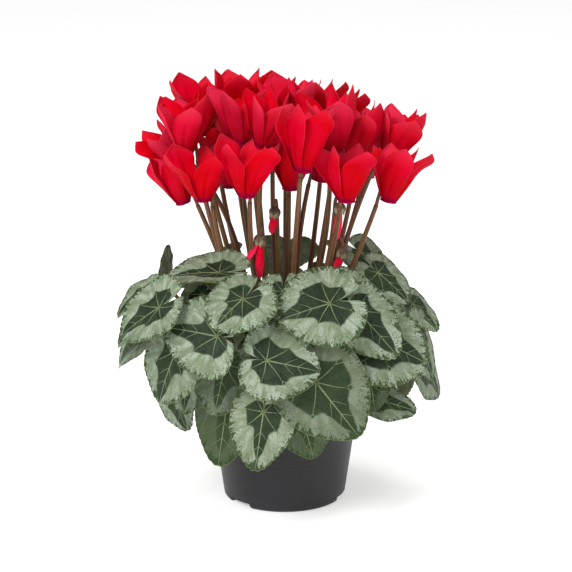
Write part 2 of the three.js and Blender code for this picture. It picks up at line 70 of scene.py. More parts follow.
bl_info = {
    "name": "Potted Cyclamen",
    "version": (1, 0, 0),
    "blender": (4, 5, 0),
    "location": "3D View > Sidebar > Cyclamen",
    "description": "Dresses the frame of a potted cyclamen with its pot, soil, leaves and blooms",
    "category": "Object",
}

MM = 0.001
BODY = "root"

# Points nearer than this, in metres, are welded. A plain piece has one map value and mark all over.
WELD = 2e-6
PLAIN_CHART = (0.0, 0.0)
PLAIN_MARK = (0.0, 0.0, 0.0)

# Pot, in millimetres
POT_LIP_HEIGHT = 9
POT_LIP_DEPTH = 2
POT_BASE_RADIUS = 46
POT_WALL = 1.6
POT_FLOOR = 5
POT_BELTS = (20, 50)
FOOT_BEVEL = 1.5
FOOT_HEIGHT = 3
FOOT_WIDTH = 7
NOTCH_WIDTH = 22
NOTCH_HEIGHT = 4
NOTCH_AZIMUTHS = (-138, -17, 102)
POT_GROOVE = 5.0
GROOVE_DEPTH = 0.35
GROOVE_HALF_WIDTH = 0.4
POT_COLUMNS = 360

# Soil and tuber, in millimetres
SOIL_GAP = 0.3
SOIL_CROWN = 87
TUBER_RADIUS = 20
TUBER_BOTTOM = 68
TUBER_TOP = 93
SOIL_DIP = 3
CRUMB_SIDES = 6
CRUMB_RINGS = 5

# Where the petioles of a group rise from the soil: how far from the axis, how high, how far apart
GROUP_REACH = 33
GROUP_START = 84.5
GROUP_SPREAD = 2.5

# The camera and the rows of leaves, blooms and buds stand this far to the right of the pot's axis.
PLANT_SHIFT = 1.1

# Leaves, in millimetres, or as shares of a leaf's length for its teeth and its wave
BLADE_THICKNESS = 0.6
BLADE_ROWS = 14
TEETH = 62
FEW_TEETH = 44
TOOTH_DEPTH = 0.016
WAVE_HEIGHT = 0.03
RIPPLE_HEIGHT = 0.25
PILLOW_HEIGHT = 0.35
VEIN_STEPS = 10
VEIN_ANGLE = math.radians(27)
VEIN_RISE = 0.34
PETIOLE_RADIUS = 1.5
PETIOLE_STEPS = 26
PETIOLE_CREST = 118
BACK_MIDDLES = (147, 93, 38)
BACK_TUCK = 7
BACK_TIERS = ((66, 177, 50, (0,)), (82, 146, 32, (-16, 16)), (94, 104, 12, (-16, 16)))

# Tubes: how many sides they have and how many points their paths
TUBE_SIDES = 8
STALK_SIDES = 10
STALK_STEPS = 30
HOOK_STEPS = 16

# Blooms, in millimetres
STALK_RADIUS = 1.7
STALK_SWAY = 1.2
BLOOM_HEIGHT = 46
MOUTH_RADIUS = 6
MOUTH_WAIST = 0.86
CUP_HEIGHT = 9
PETAL_WIDTH = 16
PETAL_FLARE = 12
PETAL_THICKNESS = 0.45
PETAL_ROWS = 26
PETAL_COLUMNS = 17
PETALS = 5
TIP_ROUNDING = 0.07
STALK_OFFSET = 9.5
HOOK_START = 6
CROWN_RADIUS = 12
CROWN_BACK = 12.0

# Buds, in millimetres: the calyx's radius, its rise over the top of the furled petals, its drop
# under it and the length of its points; then the loose petal's half width, fall and reach sideways
CALYX_RADIUS = 4.6
CALYX_RISE = 2.4
CALYX_DROP = 7.0
CALYX_POINT = 2.8
LOOSE_PETAL_BUD = "bud_01"
LOOSE_HALF_WIDTH = 3.0
LOOSE_FALL = 13.5
LOOSE_REACH = 8.0
BUD_STALK_RADIUS = 1.4

# Stage, in metres and watts: each lamp's name, place about the pot's axis, power and size
LAMPS = (
    ("key", (-0.9, -1.5, 1.5), 28.0, 0.7),
    ("fill", (1.3, -1.2, 0.8), 4.0, 1.0),
    ("top", (0.1, 0.3, 1.7), 10.0, 1.0),
)
LAMP_AIM = (0.0, 0.0, 0.17)
FLOOR_REACH = 6.0
SENSOR_WIDTH = 36.0

# Each leaf: hub x, y, z, the way its face looks (azimuth, elevation), the turn of its tip, its
# length, the half breadth and the reach of the back lobes as shares of the length, the fold, the
# droop of the tip and the droop of the sides.
FRONT_LEAVES = (
    ("leaf_01", -48, -68, 193, -105, 76, -84, 38, 0.64, 0.62, 0.25, 0.12, 0.05),
    ("leaf_02", -30, -111, 186, -97, 58, -36, 31, 0.84, 0.70, 0.00, 0.15, 0.15),
    ("leaf_03", -48, -116, 160, -112, 28, -94, 45, 0.68, 0.30, 0.00, 0.10, 0.15),
    ("leaf_04", -90, -88, 173, -138, 45, -39, 37, 0.76, 0.60, 0.15, 0.10, 0.10),
    ("leaf_05", -60, -66, 177, -110, 40, -40, 19, 0.85, 0.50, 0.00, 0.10, 0.20),
    ("leaf_06", -78, -93, 143, -128, 15, -17, 43, 0.68, 0.45, 0.00, 0.10, 0.15),
    ("leaf_07", 31, -102, 180, -78, 40, -77, 39, 0.80, 0.66, 0.00, 0.10, 0.15),
    ("leaf_08", -14, -118, 143, -88, 20, 78, 39, 0.72, 0.46, 0.00, 0.10, 0.15),
    ("leaf_09", 49, -84, 171, -74, 32, 37, 46, 0.54, 0.24, 0.00, 0.10, 0.15),
    ("leaf_10", 63, -77, 147, -68, 30, 60, 47, 0.72, 0.50, 0.00, 0.10, 0.15),
    ("leaf_11", 41, -53, 177, -76, 45, 65, 29, 0.70, 0.35, 0.00, 0.10, 0.15),
    ("leaf_12", 60, -78, 102, -70, 45, 68, 37, 0.42, 0.30, 0.10, 0.10, 0.15),
    ("leaf_13", 21, -108, 124, -86, 8, 37, 52, 0.66, 0.50, 0.00, 0.10, 0.15),
    ("leaf_14", -16, -106, 101, -92, 4, -8, 45, 0.52, 0.34, 0.00, 0.05, 0.10),
    ("leaf_15", -42, -80, 102, -106, 0, -9, 54, 0.43, 0.45, 0.00, 0.05, 0.10),
    ("leaf_16", 12, -88, 89, -84, -4, 15, 33, 0.66, 0.50, 0.00, 0.05, 0.10),
    ("leaf_17", -43, -94, 133, -104, 6, -12, 40, 0.66, 0.45, 0.00, 0.05, 0.10),
    ("leaf_18", -22, -100, 157, -96, 32, -47, 19, 0.80, 0.60, 0.00, 0.10, 0.15),
    ("leaf_19", -2, -74, 181, -90, 50, -3, 26, 0.76, 0.60, 0.00, 0.10, 0.15),
    ("leaf_20", 61, -84, 115, -74, 15, 6, 21, 0.70, 0.45, 0.00, 0.05, 0.10),
)
SIDE_GROUPS = (
    ("leaves_right", -5, (
        (56, 8, 188, -55, 45, 37, 22, 0.80, 0.60, 0.10, 0.10, 0.10),
        (68, -16, 179, -50, 50, 25, 32, 0.72, 0.50, 0.00, 0.10, 0.15),
        (95, 0, 150, -30, 50, 11, 28, 0.72, 0.50, 0.10, 0.10, 0.15),
        (97, -24, 132, -30, 15, 24, 40, 0.62, 0.50, 0.00, 0.10, 0.15),
        (104, -18, 108, -25, 15, 31, 35, 0.62, 0.50, 0.00, 0.10, 0.15),
    )),
    ("leaves_left", -172, (
        (-71, -60, 116, -122, 8, -6, 33, 0.60, 0.45, 0.10, 0.05, 0.10),
        (-85, -48, 97, -130, 0, 27, 32, 0.60, 0.45, 0.00, 0.05, 0.10),
        (-88, -14, 177, -20, 10, 174, 22, 0.60, 0.50, 0.00, -0.20, 0.10),
        (-101, -20, 166, -150, 50, -30, 33, 0.42, 0.40, 0.30, 0.10, 0.10),
        (-99, -34, 151, -150, 40, -38, 40, 0.42, 0.40, 0.30, 0.10, 0.10),
        (-100, -22, 138, -155, 30, -40, 51, 0.42, 0.40, 0.30, 0.10, 0.10),
    )),
)
BACK_GROUPS = (("leaves_back_left", 140), ("leaves_back", 92), ("leaves_back_right", 44))

# Veins of one side: from an angle in degrees and a share of the reach, by a middle, to the end,
# and the half width at the start in millimetres.
SIDE_VEINS = (
    ((0, 0.00), (34, 0.32), (41, 0.60), 0.56),
    ((41, 0.58), (36, 0.70), (28, 0.90), 0.36),
    ((41, 0.58), (47, 0.70), (55, 0.90), 0.36),
    ((0, 0.00), (84, 0.28), (93, 0.56), 0.54),
    ((93, 0.54), (88, 0.68), (81, 0.88), 0.35),
    ((93, 0.54), (99, 0.68), (108, 0.88), 0.35),
    ((0, 0.00), (136, 0.26), (142, 0.55), 0.48),
    ((142, 0.53), (138, 0.66), (134, 0.86), 0.30),
    ((142, 0.53), (149, 0.62), (157, 0.76), 0.30),
    ((0, 0.34), (10, 0.46), (15, 0.62), 0.34),
    ((0, 0.58), (7, 0.68), (13, 0.84), 0.30),
)
MIDRIB = ((0, 0.0), (0, 0.5), (0, 0.97), 0.72)

# The marking of each front leaf: how silver its band is, how smooth its edge, how olive its green.
MARKINGS = {
    "leaf_06": (0.85, 0.2, 0.2),
    "leaf_12": (0.75, 0.6, 0.3),
    "leaf_13": (0.60, 0.9, 0.3),
    "leaf_14": (1.0, 0.1, 0.2),
    "leaf_15": (0.16, 0.7, 0.9),
    "leaf_16": (0.22, 0.8, 1.0),
    "leaf_17": (0.45, 0.4, 0.6),
    "leaf_20": (0.15, 0.8, 0.8),
}
USUAL_MARKING = (1.0, 0.0, 0.0)
# Leaves of the groups that are silver all over, as a group and a place in it. A silver of more than
# one spreads the band over the heart.
SILVER_LEAVES = (("leaves_left", 2),)
SILVER_ALL_OVER = 1.6

# Each bloom: mouth x, y, z, the way the head leans (azimuth, angle), its spin, size and flare.
BLOOMS = (
    ("bloom_01", -75, -22, 234, 185, 18, 40, 0.95, 1.00),
    ("bloom_02", -59, -61, 245, 180, 2, -10, 1.00, 1.00),
    ("bloom_03", -28, -78, 252, 0, 4, 5, 1.00, 1.00),
    ("bloom_04", 12, -78, 270, 0, 4, 0, 1.05, 0.85),
    ("bloom_05", 43, -72, 247, 0, 2, -8, 1.00, 1.00),
    ("bloom_06", 74, -46, 241, 0, 12, 34, 1.00, 0.90),
    ("bloom_07", 75, -16, 262, 0, 18, 50, 1.00, 0.95),
    ("bloom_08", -72, -38, 274, 180, 3, 48, 0.92, 1.00),
    ("bloom_09", -41, -1, 241, 180, 3, 36, 0.95, 1.00),
    ("bloom_10", -32, -23, 279, 180, 3, 20, 1.00, 1.00),
    ("bloom_11", -17, -56, 283, 0, 10, 6, 0.90, 0.90),
    ("bloom_12", 35, -50, 278, 180, 6, -4, 1.00, 1.00),
    ("bloom_13", 25, -10, 248, 0, 12, 46, 1.00, 0.90),
    ("bloom_14", 3, -30, 246, 0, 2, 32, 0.95, 0.90),
    ("bloom_15", 60, 10, 246, 0, 5, 0, 0.95, 1.00),
    ("bloom_16", 3, -25, 285, 0, 0, 36, 0.95, 0.85),
    ("bloom_17", -71, -6, 271, 180, 8, 6, 0.90, 1.00),
    ("bloom_18", -62, 30, 274, 180, 2, -16, 1.00, 1.00),
    ("bloom_19", -33, 10, 283, 180, 2, 40, 1.00, 1.00),
    ("bloom_20", -15, 34, 274, 0, 2, 12, 1.00, 1.00),
    ("bloom_21", 20, 18, 275, 0, 0, 36, 0.95, 0.95),
    ("bloom_22", 34, 50, 260, 0, 2, 20, 1.00, 1.00),
    ("bloom_23", 51, -26, 266, 0, 2, 44, 0.95, 0.90),
    ("bloom_24", 70, 48, 247, 0, 10, 0, 0.95, 1.00),
    ("bloom_25", -46, 60, 261, 180, 4, 30, 1.00, 1.00),
    ("bloom_26", 0, 69, 262, 0, 0, 0, 1.00, 1.00),
    ("bloom_27", 42, 84, 248, 0, 4, 0, 1.00, 1.00),
    ("bloom_28", -77, 16, 249, 185, 36, 34, 0.90, 1.00),
)

# The openness and the height of each bloom in front, as shares of the usual.
HABITS = {
    "bloom_01": (0.95, 0.95),
    "bloom_02": (1.25, 0.87),
    "bloom_03": (1.05, 0.93),
    "bloom_04": (0.80, 1.04),
    "bloom_05": (0.95, 0.92),
    "bloom_06": (0.88, 0.92),
    "bloom_07": (0.92, 0.96),
}
USUAL_HABIT = (1.0, 1.0)

# Each bud: calyx x, y, z, the way it hangs out (azimuth, angle), its length, its hook's reach.
BUDS = (
    ("bud_01", -19, -52, 215, 0, 0, 32, 6),
    ("bud_02", -8, -34, 231, 180, 8, 19, 6),
    ("bud_03", 42, -32, 200, 180, 20, 18, 8),
    ("bud_04", 39, -46, 237, 180, 6, 27, 6),
)


def draw(i, j):
    """A number from 0 to 1 that depends only on two whole numbers, for numbers or whole arrays."""
    return (((i * 7919 + j * 104729 + 1) * 16807) % 2147483647) / 2147483647


def level(azimuth):
    """The level direction at an azimuth in degrees."""
    return np.array((math.cos(math.radians(azimuth)), math.sin(math.radians(azimuth)), 0.0))


def leaning(azimuth, angle):
    """The way up once it leans by an angle towards an azimuth, both in degrees."""
    lean = math.radians(angle)
    return level(azimuth) * math.sin(lean) + (0, 0, math.cos(lean))


def back_rows(third):
    """The leaves of one third of the back: three tiers that fall away from the crown."""
    rows = []
    for tier, (radius, height, elevation, offsets) in enumerate(BACK_TIERS):
        for i, offset in enumerate(offsets):
            azimuth = BACK_MIDDLES[third] + offset + 4 * (draw(third, 10 * tier + i) - 0.5)
            turn = 30 * (draw(third, 40 + 10 * tier + i) - 0.5)
            length = 38 + 4 * draw(third, 80 + 10 * tier + i)
            reach = radius - i * BACK_TUCK
            x, y, _ = reach * level(azimuth)
            rows.append((x, y, height - i * BACK_TUCK, azimuth, elevation, turn, length,
                         0.70, 0.45, 0.00, 0.12, 0.08))
    return tuple(rows)


LEAF_GROUPS = SIDE_GROUPS + tuple(
    (name, azimuth, back_rows(third)) for third, (name, azimuth) in enumerate(BACK_GROUPS))


# ---------------------------------------------------------------------------------------------
# Shapes: every one is a grid of points worked out from two parameters
# ---------------------------------------------------------------------------------------------

def unit(v):
    """Vectors brought to length one."""
    return v / np.maximum(np.linalg.norm(v, axis=-1, keepdims=True), 1e-12)


def sides_of(axis):
    """Two directions square to an axis and to each other, the first of them near +X."""
    side = unit(np.array((1.0, 0, 0)) - axis[0] * axis)
    return side, np.cross(axis, side)


def together(*values):
    """Values spread to one shape and joined as a last axis: the parts of points, charts or marks."""
    return np.stack(np.broadcast_arrays(*values), -1)


def smooth(value, low, high):
    """0 below low, 1 above high and an even S between them."""
    t = np.clip((value - low) / (high - low), 0, 1)
    return t * t * (3 - 2 * t)


def lattice(x, y, seed):
    """Smooth noise from 0 to 1: draws on whole numbers of x and y, blended between them."""
    i, j = np.floor(x).astype(int), np.floor(y).astype(int)
    u, v = smooth(x - i, 0, 1), smooth(y - j, 0, 1)
    corner = lambda a, b: draw((i + a + 500) * 31 + seed, (j + b + 500) * 17)
    low = corner(0, 0) * (1 - u) + corner(1, 0) * u
    high = corner(0, 1) * (1 - u) + corner(1, 1) * u
    return low * (1 - v) + high * v


class Patchwork:
    """Grids of points gathered into one closed mesh. Points that meet are welded."""

    def __init__(self):
        self.points, self.faces, self.maps, self.marks, self.slots = [], [], [], [], []
        self.count = 0

    def grid(self, points, chart, mark, slot, wrap=False):
        """Adds one grid of rows and columns, or a stack of them, split into triangles.

        chart holds two map values for each point and mark three more; slot is the material's
        number, one for all faces or one for each row. With wrap the last column meets the first.
        """
        points = np.asarray(points, float)
        if points.ndim == 3:
            points = points[None]
        stacks, rows, columns, _ = points.shape
        chart = np.broadcast_to(chart, (stacks, rows, columns, 2)).reshape(-1, 2)
        mark = np.broadcast_to(mark, (stacks, rows, columns, 3)).reshape(-1, 3)
        number = np.arange(stacks * rows * columns).reshape(stacks, rows, columns)
        after = np.roll(number, -1, axis=2) if wrap else number[:, :, 1:]
        before = number if wrap else number[:, :, :-1]
        a, b = before[:, :-1], before[:, 1:]
        c, d = after[:, 1:], after[:, :-1]
        quads = np.stack([a, b, c, a, c, d], axis=-1).reshape(-1, 2, 3)
        per_row = np.broadcast_to(np.asarray(slot), (rows - 1,))
        shares = np.broadcast_to(per_row[None, :, None], a.shape).reshape(-1)
        self.points.append(points.reshape(-1, 3))
        self.faces.append(quads.reshape(-1, 3) + self.count)
        self.maps.append(chart)
        self.marks.append(mark)
        self.slots.append(np.repeat(shares, 2))
        self.count += stacks * rows * columns

    def finish(self, name, finishes, slot, *nodes):
        """Makes the object, gives it its finishes, hangs it on the root body and hides the parts of the
        frame that it replaces.
        """
        points = np.concatenate(self.points) * MM + POT_AXIS
        faces = np.concatenate(self.faces)
        maps, marks = np.concatenate(self.maps), np.concatenate(self.marks)
        slots = np.concatenate(self.slots)
        _, first, inverse = np.unique(np.round(points / WELD).astype(np.int64), axis=0,
                                      return_index=True, return_inverse=True)
        welded = inverse.reshape(-1)[faces]
        kept = ((welded[:, 0] != welded[:, 1]) & (welded[:, 1] != welded[:, 2])
                & (welded[:, 0] != welded[:, 2]))
        faces, welded, slots = faces[kept], welded[kept], slots[kept]
        mesh = bpy.data.meshes.new(name)
        mesh.vertices.add(len(first))
        mesh.vertices.foreach_set("co", points[first].astype(np.float32).ravel())
        mesh.loops.add(welded.size)
        mesh.loops.foreach_set("vertex_index", welded.astype(np.int32).ravel())
        mesh.polygons.add(len(welded))
        mesh.polygons.foreach_set("loop_start", np.arange(0, welded.size, 3, dtype=np.int32))
        mesh.polygons.foreach_set("material_index", slots.astype(np.int32))
        mesh.polygons.foreach_set("use_smooth", np.ones(len(welded), bool))
        chart = mesh.uv_layers.new(name="chart")
        chart.uv.foreach_set("vector", maps[faces].astype(np.float32).ravel())
        mark = mesh.attributes.new("mark", "FLOAT_VECTOR", "CORNER")
        mark.data.foreach_set("vector", marks[faces].astype(np.float32).ravel())
        for finish in finishes:
            mesh.materials.append(finish)
        mesh.update(calc_edges=True)
        mesh.validate()
        piece = bpy.data.objects.new(name, mesh)
        bpy.context.scene.collection.objects.link(piece)
        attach(piece, BODY)
        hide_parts(*nodes)
        return piece


def bezier(ends, steps):
    """Cubic curves: for each four points, the sum of them weighed by the cubic Bernstein terms."""
    ends = np.asarray(ends, float)
    t = np.linspace(0, 1, steps)[:, None]
    weights = ((1 - t) ** 3, 3 * t * (1 - t) ** 2, 3 * t * t * (1 - t), t ** 3)
    return sum(w * ends[..., k, None, :] for k, w in enumerate(weights))


def tubes(paths, radii, across, sides=TUBE_SIDES):
    """Closed tubes along paths: a round section carried along each path.

    The section stands square to the path, with one axis in the plane square to across. Both ends
    close to a point.
    """
    paths = np.asarray(paths, float)
    tangent = unit(np.gradient(paths, axis=-2))
    side = unit(np.cross(tangent, across))
    other = np.cross(side, tangent)
    turn = np.linspace(0, 2 * math.pi, sides, endpoint=False)
    radii = np.broadcast_to(radii, paths.shape[:-1])[..., None, None]
    section = (np.cos(turn)[:, None] * side[..., None, :]
               + np.sin(turn)[:, None] * other[..., None, :])
    body = paths[..., None, :] + radii * section
    ends = np.repeat(paths[..., None, :], sides, axis=-2)
    return np.concatenate([ends[..., :1, :, :], body, ends[..., -1:, :, :]], axis=-3)


def tube_chart(start, sides, steps):
    """A tube's map values: once round it from 0 to 1, and along it from a start to 1."""
    return together(np.linspace(0, 1, sides), np.linspace(start, 1, steps + 2)[:, None])


def turned(profile, columns):
    """A surface of revolution about Z from radius and height pairs, rows up the profile."""
    turn = np.linspace(0, 2 * math.pi, columns, endpoint=False)
    profile = np.asarray(profile, float)
    radius, height = profile[:, 0][:, None], profile[:, 1][:, None]
    return together(radius * np.cos(turn), radius * np.sin(turn), height)


def eased(profile, size, steps=4):
    """A profile with its corners rounded: each is replaced by a short curve between two points
    that lie up to size from it on its two sides."""
    points = [np.array(p, float) for p in profile]
    out = [points[0]]
    for before, corner, after in zip(points, points[1:], points[2:]):
        reach = [min(size, 0.4 * np.linalg.norm(end - corner)) for end in (before, after)]
        start = corner + unit(before - corner) * reach[0]
        stop = corner + unit(after - corner) * reach[1]
        for t in np.linspace(0, 1, steps):
            out.append((1 - t) ** 2 * start + 2 * t * (1 - t) * corner + t * t * stop)
    return out + [points[-1]]


# ---------------------------------------------------------------------------------------------
# Leaves
# ---------------------------------------------------------------------------------------------

class Leaf:
    """One heart-shaped leaf: its frame in space, its outline and the height of its face."""

    def __init__(self, row, index):
        x, y, z, azimuth, elevation, turn = row[:6]
        self.length, self.breadth, self.back, self.fold, self.bend, self.bow = row[6:]
        self.index = index
        az, el, tn = (math.radians(value) for value in (azimuth, elevation, turn))
        downhill = np.array((math.cos(az) * math.sin(el), math.sin(az) * math.sin(el), -math.cos(el)))
        level = np.array((-math.sin(az), math.cos(az), 0.0))
        self.normal = np.array((math.cos(az) * math.cos(el), math.sin(az) * math.cos(el), math.sin(el)))
        self.along = downhill * math.cos(tn) + level * math.sin(tn)
        self.across = np.cross(self.normal, self.along)
        self.hub = np.array((x + PLANT_SHIFT, y, z))

    def reach(self, angle):
        """Distance from hub to edge: long at the tip, round at the sides, notched at the back."""
        turn = np.abs(angle)
        point = 0.6 * np.cos(turn) ** 2 + 0.4 * np.exp(-((turn / 0.3) ** 2))
        front = self.breadth + (1 - self.breadth) * point
        rear = self.breadth + (self.back - self.breadth) * np.cos(turn) ** 2
        notch = 1 - 0.85 * np.exp(-(((math.pi - turn) / 0.14) ** 2))
        return self.length * np.where(turn < math.pi / 2, front, rear * notch)

    def height(self, a, b):
        """Height of the face over its plane: fold, droop of tip and sides, a wave at the edge, and
        low pillows between the veins."""
        angle = np.arctan2(b, a)
        share = np.hypot(a, b) / self.reach(angle)
        wave = WAVE_HEIGHT * self.length * share ** 3 * np.sin(4 * angle + 6.28 * draw(self.index, 3))
        ripple = RIPPLE_HEIGHT * share ** 4 * np.sin(11 * angle + 6.28 * draw(self.index, 4))
        pillow = PILLOW_HEIGHT * np.abs(np.sin(angle / VEIN_ANGLE * math.pi)) * smooth(share, 0.1, 0.5)
        pillow = pillow * (1 - smooth(share, 0.75, 1.0))
        return (self.fold * np.sqrt(b * b + 0.5) - self.bend * a * np.abs(a) / self.length
                - self.bow * b * b / self.length + wave + ripple + pillow)

    def face(self, a, b):
        """Points of the upper face and its unit normals, from the slopes of the height."""
        step = 0.15
        h = self.height(a, b)
        slope_a = (self.height(a + step, b) - self.height(a - step, b)) / (2 * step)
        slope_b = (self.height(a, b + step) - self.height(a, b - step)) / (2 * step)
        point = (self.hub + a[..., None] * self.along + b[..., None] * self.across
                 + h[..., None] * self.normal)
        normal = self.normal - slope_a[..., None] * self.along - slope_b[..., None] * self.across
        return point, unit(normal)


def band_start(angle, index):
    """The share of the reach at which the silver band begins. It comes in between the main veins in
    round lobes, each by a draw, and stays far out at the tip, where the dark heart ends in a wedge."""
    phase = np.interp(np.degrees(np.abs(angle)), (0, 41, 93, 142, 180), (0, 1, 2, 3, 3.9))
    phase = np.where(angle < 0, phase + 4, phase)
    deep = 0.03 + 0.17 * draw(index, 30 + np.floor(phase).astype(int))
    between = np.abs(np.sin(phase * math.pi)) ** 0.35
    tip = np.exp(-((np.abs(angle) / 0.21) ** 2))
    base = 0.63 + 0.12 * (draw(index, 21) - 0.5) + 0.05 * np.sin(2.3 * angle + 6 * draw(index, 22))
    return base - deep * between + 0.30 * tip


def add_blade(work, leaf, marking, teeth):
    """Adds a leaf's blade: rows from the hub out over the upper face and back under the lower one,
    columns round the hub. The edge has small round teeth and thins towards its rim.

    The marks are how far a point lies past the start of the silver band, how silver the band is,
    and how olive the green is, plus twice a whole number that sets leaves apart.
    """
    silver, calm, olive = marking
    angle = np.linspace(-math.pi, math.pi, 5 * teeth + 1)[None, :]
    share = (1 - (1 - np.linspace(0, 1, BLADE_ROWS)) ** 1.7)[:, None]
    tooth = TOOTH_DEPTH * (1.6 * np.abs(np.sin(angle * teeth / 2)) - 1) * (1 - 0.6 * calm)
    ray = leaf.reach(angle)
    radius = ray * (share + tooth * smooth(share, 0.85, 1.0))
    a, b = radius * np.cos(angle), radius * np.sin(angle)
    upper, normal = leaf.face(a, b)
    thickness = BLADE_THICKNESS * (1 - 0.45 * smooth(share, 0.85, 1.0))
    lower = upper - thickness[..., None] * normal
    both = np.concatenate([upper, lower[::-1]])
    chart = together(angle / (2 * math.pi) + 0.5, share)
    beyond = share - band_start(angle, leaf.index) + max(silver - 1, 0)
    kind = round(9 * draw(leaf.index, 5))
    mark = together(beyond, silver, olive + 2 * kind)
    slots = np.array([0] * (BLADE_ROWS - 1) + [1] * BLADE_ROWS)
    work.grid(both, np.concatenate([chart, chart[::-1]]), np.concatenate([mark, mark[::-1]]), slots)


def vein_paths(leaf):
    """Plane paths of the veins, their half widths and their shares of the reach: each vein bends
    from its start by its middle to its end, and a draw turns it a little."""
    rows = [MIDRIB]
    for side in (1, -1):
        for k, (start, middle, end, width) in enumerate(SIDE_VEINS):
            sway = 4 * (draw(leaf.index, 60 + k + 20 * (side > 0)) - 0.5)
            stem = side * (start[0] + (sway if start[0] > 30 else 0))
            rows.append(((stem, start[1]), (side * (middle[0] + sway), middle[1]),
                         (side * (end[0] + sway), end[1]), width))
    polar = np.array([row[:3] for row in rows], float)
    turn, share = np.radians(polar[..., 0]), polar[..., 1]
    reach = leaf.reach(turn)
    corners = together(share * reach * np.cos(turn), share * reach * np.sin(turn))
    t = np.linspace(0, 1, VEIN_STEPS)[:, None]
    weights = ((1 - t) ** 2, 2 * t * (1 - t), t * t)
    path = sum(w * corners[:, k, None, :] for k, w in enumerate(weights))
    width = np.array([row[3] for row in rows])[:, None] * (1 - 0.72 * t[:, 0])
    along = share[:, 0, None] + (share[:, 2] - share[:, 0])[:, None] * t[:, 0]
    return path, width * (0.7 + 0.3 * leaf.length / 40), along


def add_veins(work, leaf, marking):
    """Adds a leaf's veins: flat tubes along the vein paths, half sunk in the blade, so that they
    stand out on both faces."""
    path, width, share = vein_paths(leaf)
    point, normal = leaf.face(path[..., 0], path[..., 1])
    middle = point - (0.5 * BLADE_THICKNESS - 0.05) * normal
    tangent = unit(np.gradient(middle, axis=1))
    side = unit(np.cross(normal, tangent))
    rise = 0.5 * BLADE_THICKNESS + VEIN_RISE * (width / MIDRIB[3])
    turn = np.linspace(0, 2 * math.pi, TUBE_SIDES, endpoint=False)
    section = (np.cos(turn)[:, None] * (side * width[..., None])[..., None, :]
               + np.sin(turn)[:, None] * (normal * rise[..., None])[..., None, :])
    body = middle[:, :, None, :] + section
    ends = np.repeat(middle[:, :, None, :], TUBE_SIDES, axis=2)
    grid = np.concatenate([ends[:, :1], body, ends[:, -1:]], axis=1)
    shares = np.concatenate([share[:, :1], share, share[:, -1:]], axis=1)[..., None]
    silver, _, olive = marking
    work.grid(grid, together(turn / (2 * math.pi), shares), (0.0, silver, olive), 2, wrap=True)


def petiole_curve(leaf, start):
    """The four points of a petiole: it rises from its start and meets the leaf from beneath."""
    drop = max(0.0, PETIOLE_CREST - leaf.hub[2])
    end = leaf.hub - 0.3 * leaf.normal
    span = (end - start) * (1, 1, 0)
    rise = max(end[2] - start[2], 0)
    low = start + 0.25 * span
    low[2] = start[2] + max(0.5 * rise + 12, 38)
    high = end - 24 * leaf.normal
    high[2] += 0.5 * drop
    return np.array((start, low, high, end)), unit(np.cross(span, (0, 0, 1)))


def add_petioles(work, curves, slot):
    """Adds petioles: tubes that taper from the crown to the leaf."""
    ends, across = (np.array(part) for part in zip(*curves))
    paths = bezier(ends, PETIOLE_STEPS)
    radii = PETIOLE_RADIUS * np.linspace(1.15, 0.8, PETIOLE_STEPS)
    grid = tubes(paths, radii, across[:, None, :])
    work.grid(grid, tube_chart(0, TUBE_SIDES, PETIOLE_STEPS), PLAIN_MARK, slot, wrap=True)


# ---------------------------------------------------------------------------------------------
# Blooms and buds
# ---------------------------------------------------------------------------------------------

class Bloom:
    """One bloom: the middle of its mouth, its axes and the way to its stalk's side."""

    def __init__(self, row, index):
        name, x, y, z, azimuth, angle, self.spin, self.size, self.flare = row
        self.index = index
        self.open, self.tall = HABITS.get(name, USUAL_HABIT)
        self.open *= 1 - 0.4 * smooth(angle, 6, 30)
        self.up = leaning(azimuth, angle)
        self.along, self.across = sides_of(self.up)
        self.mouth = np.array((x + PLANT_SHIFT, y, z))
        inward = np.array((-x, CROWN_BACK - y, 0))
        self.inward = unit(inward - self.up.dot(inward) * self.up)

    def place(self, local):
        """Points of the bloom's own frame in space."""
        return self.mouth + local @ np.array((self.along, self.across, self.up))

    def beside(self, offset, height):
        """The middle of the stalk at a distance from the bloom's axis and a height on it."""
        return self.mouth + offset * self.inward + height * self.up


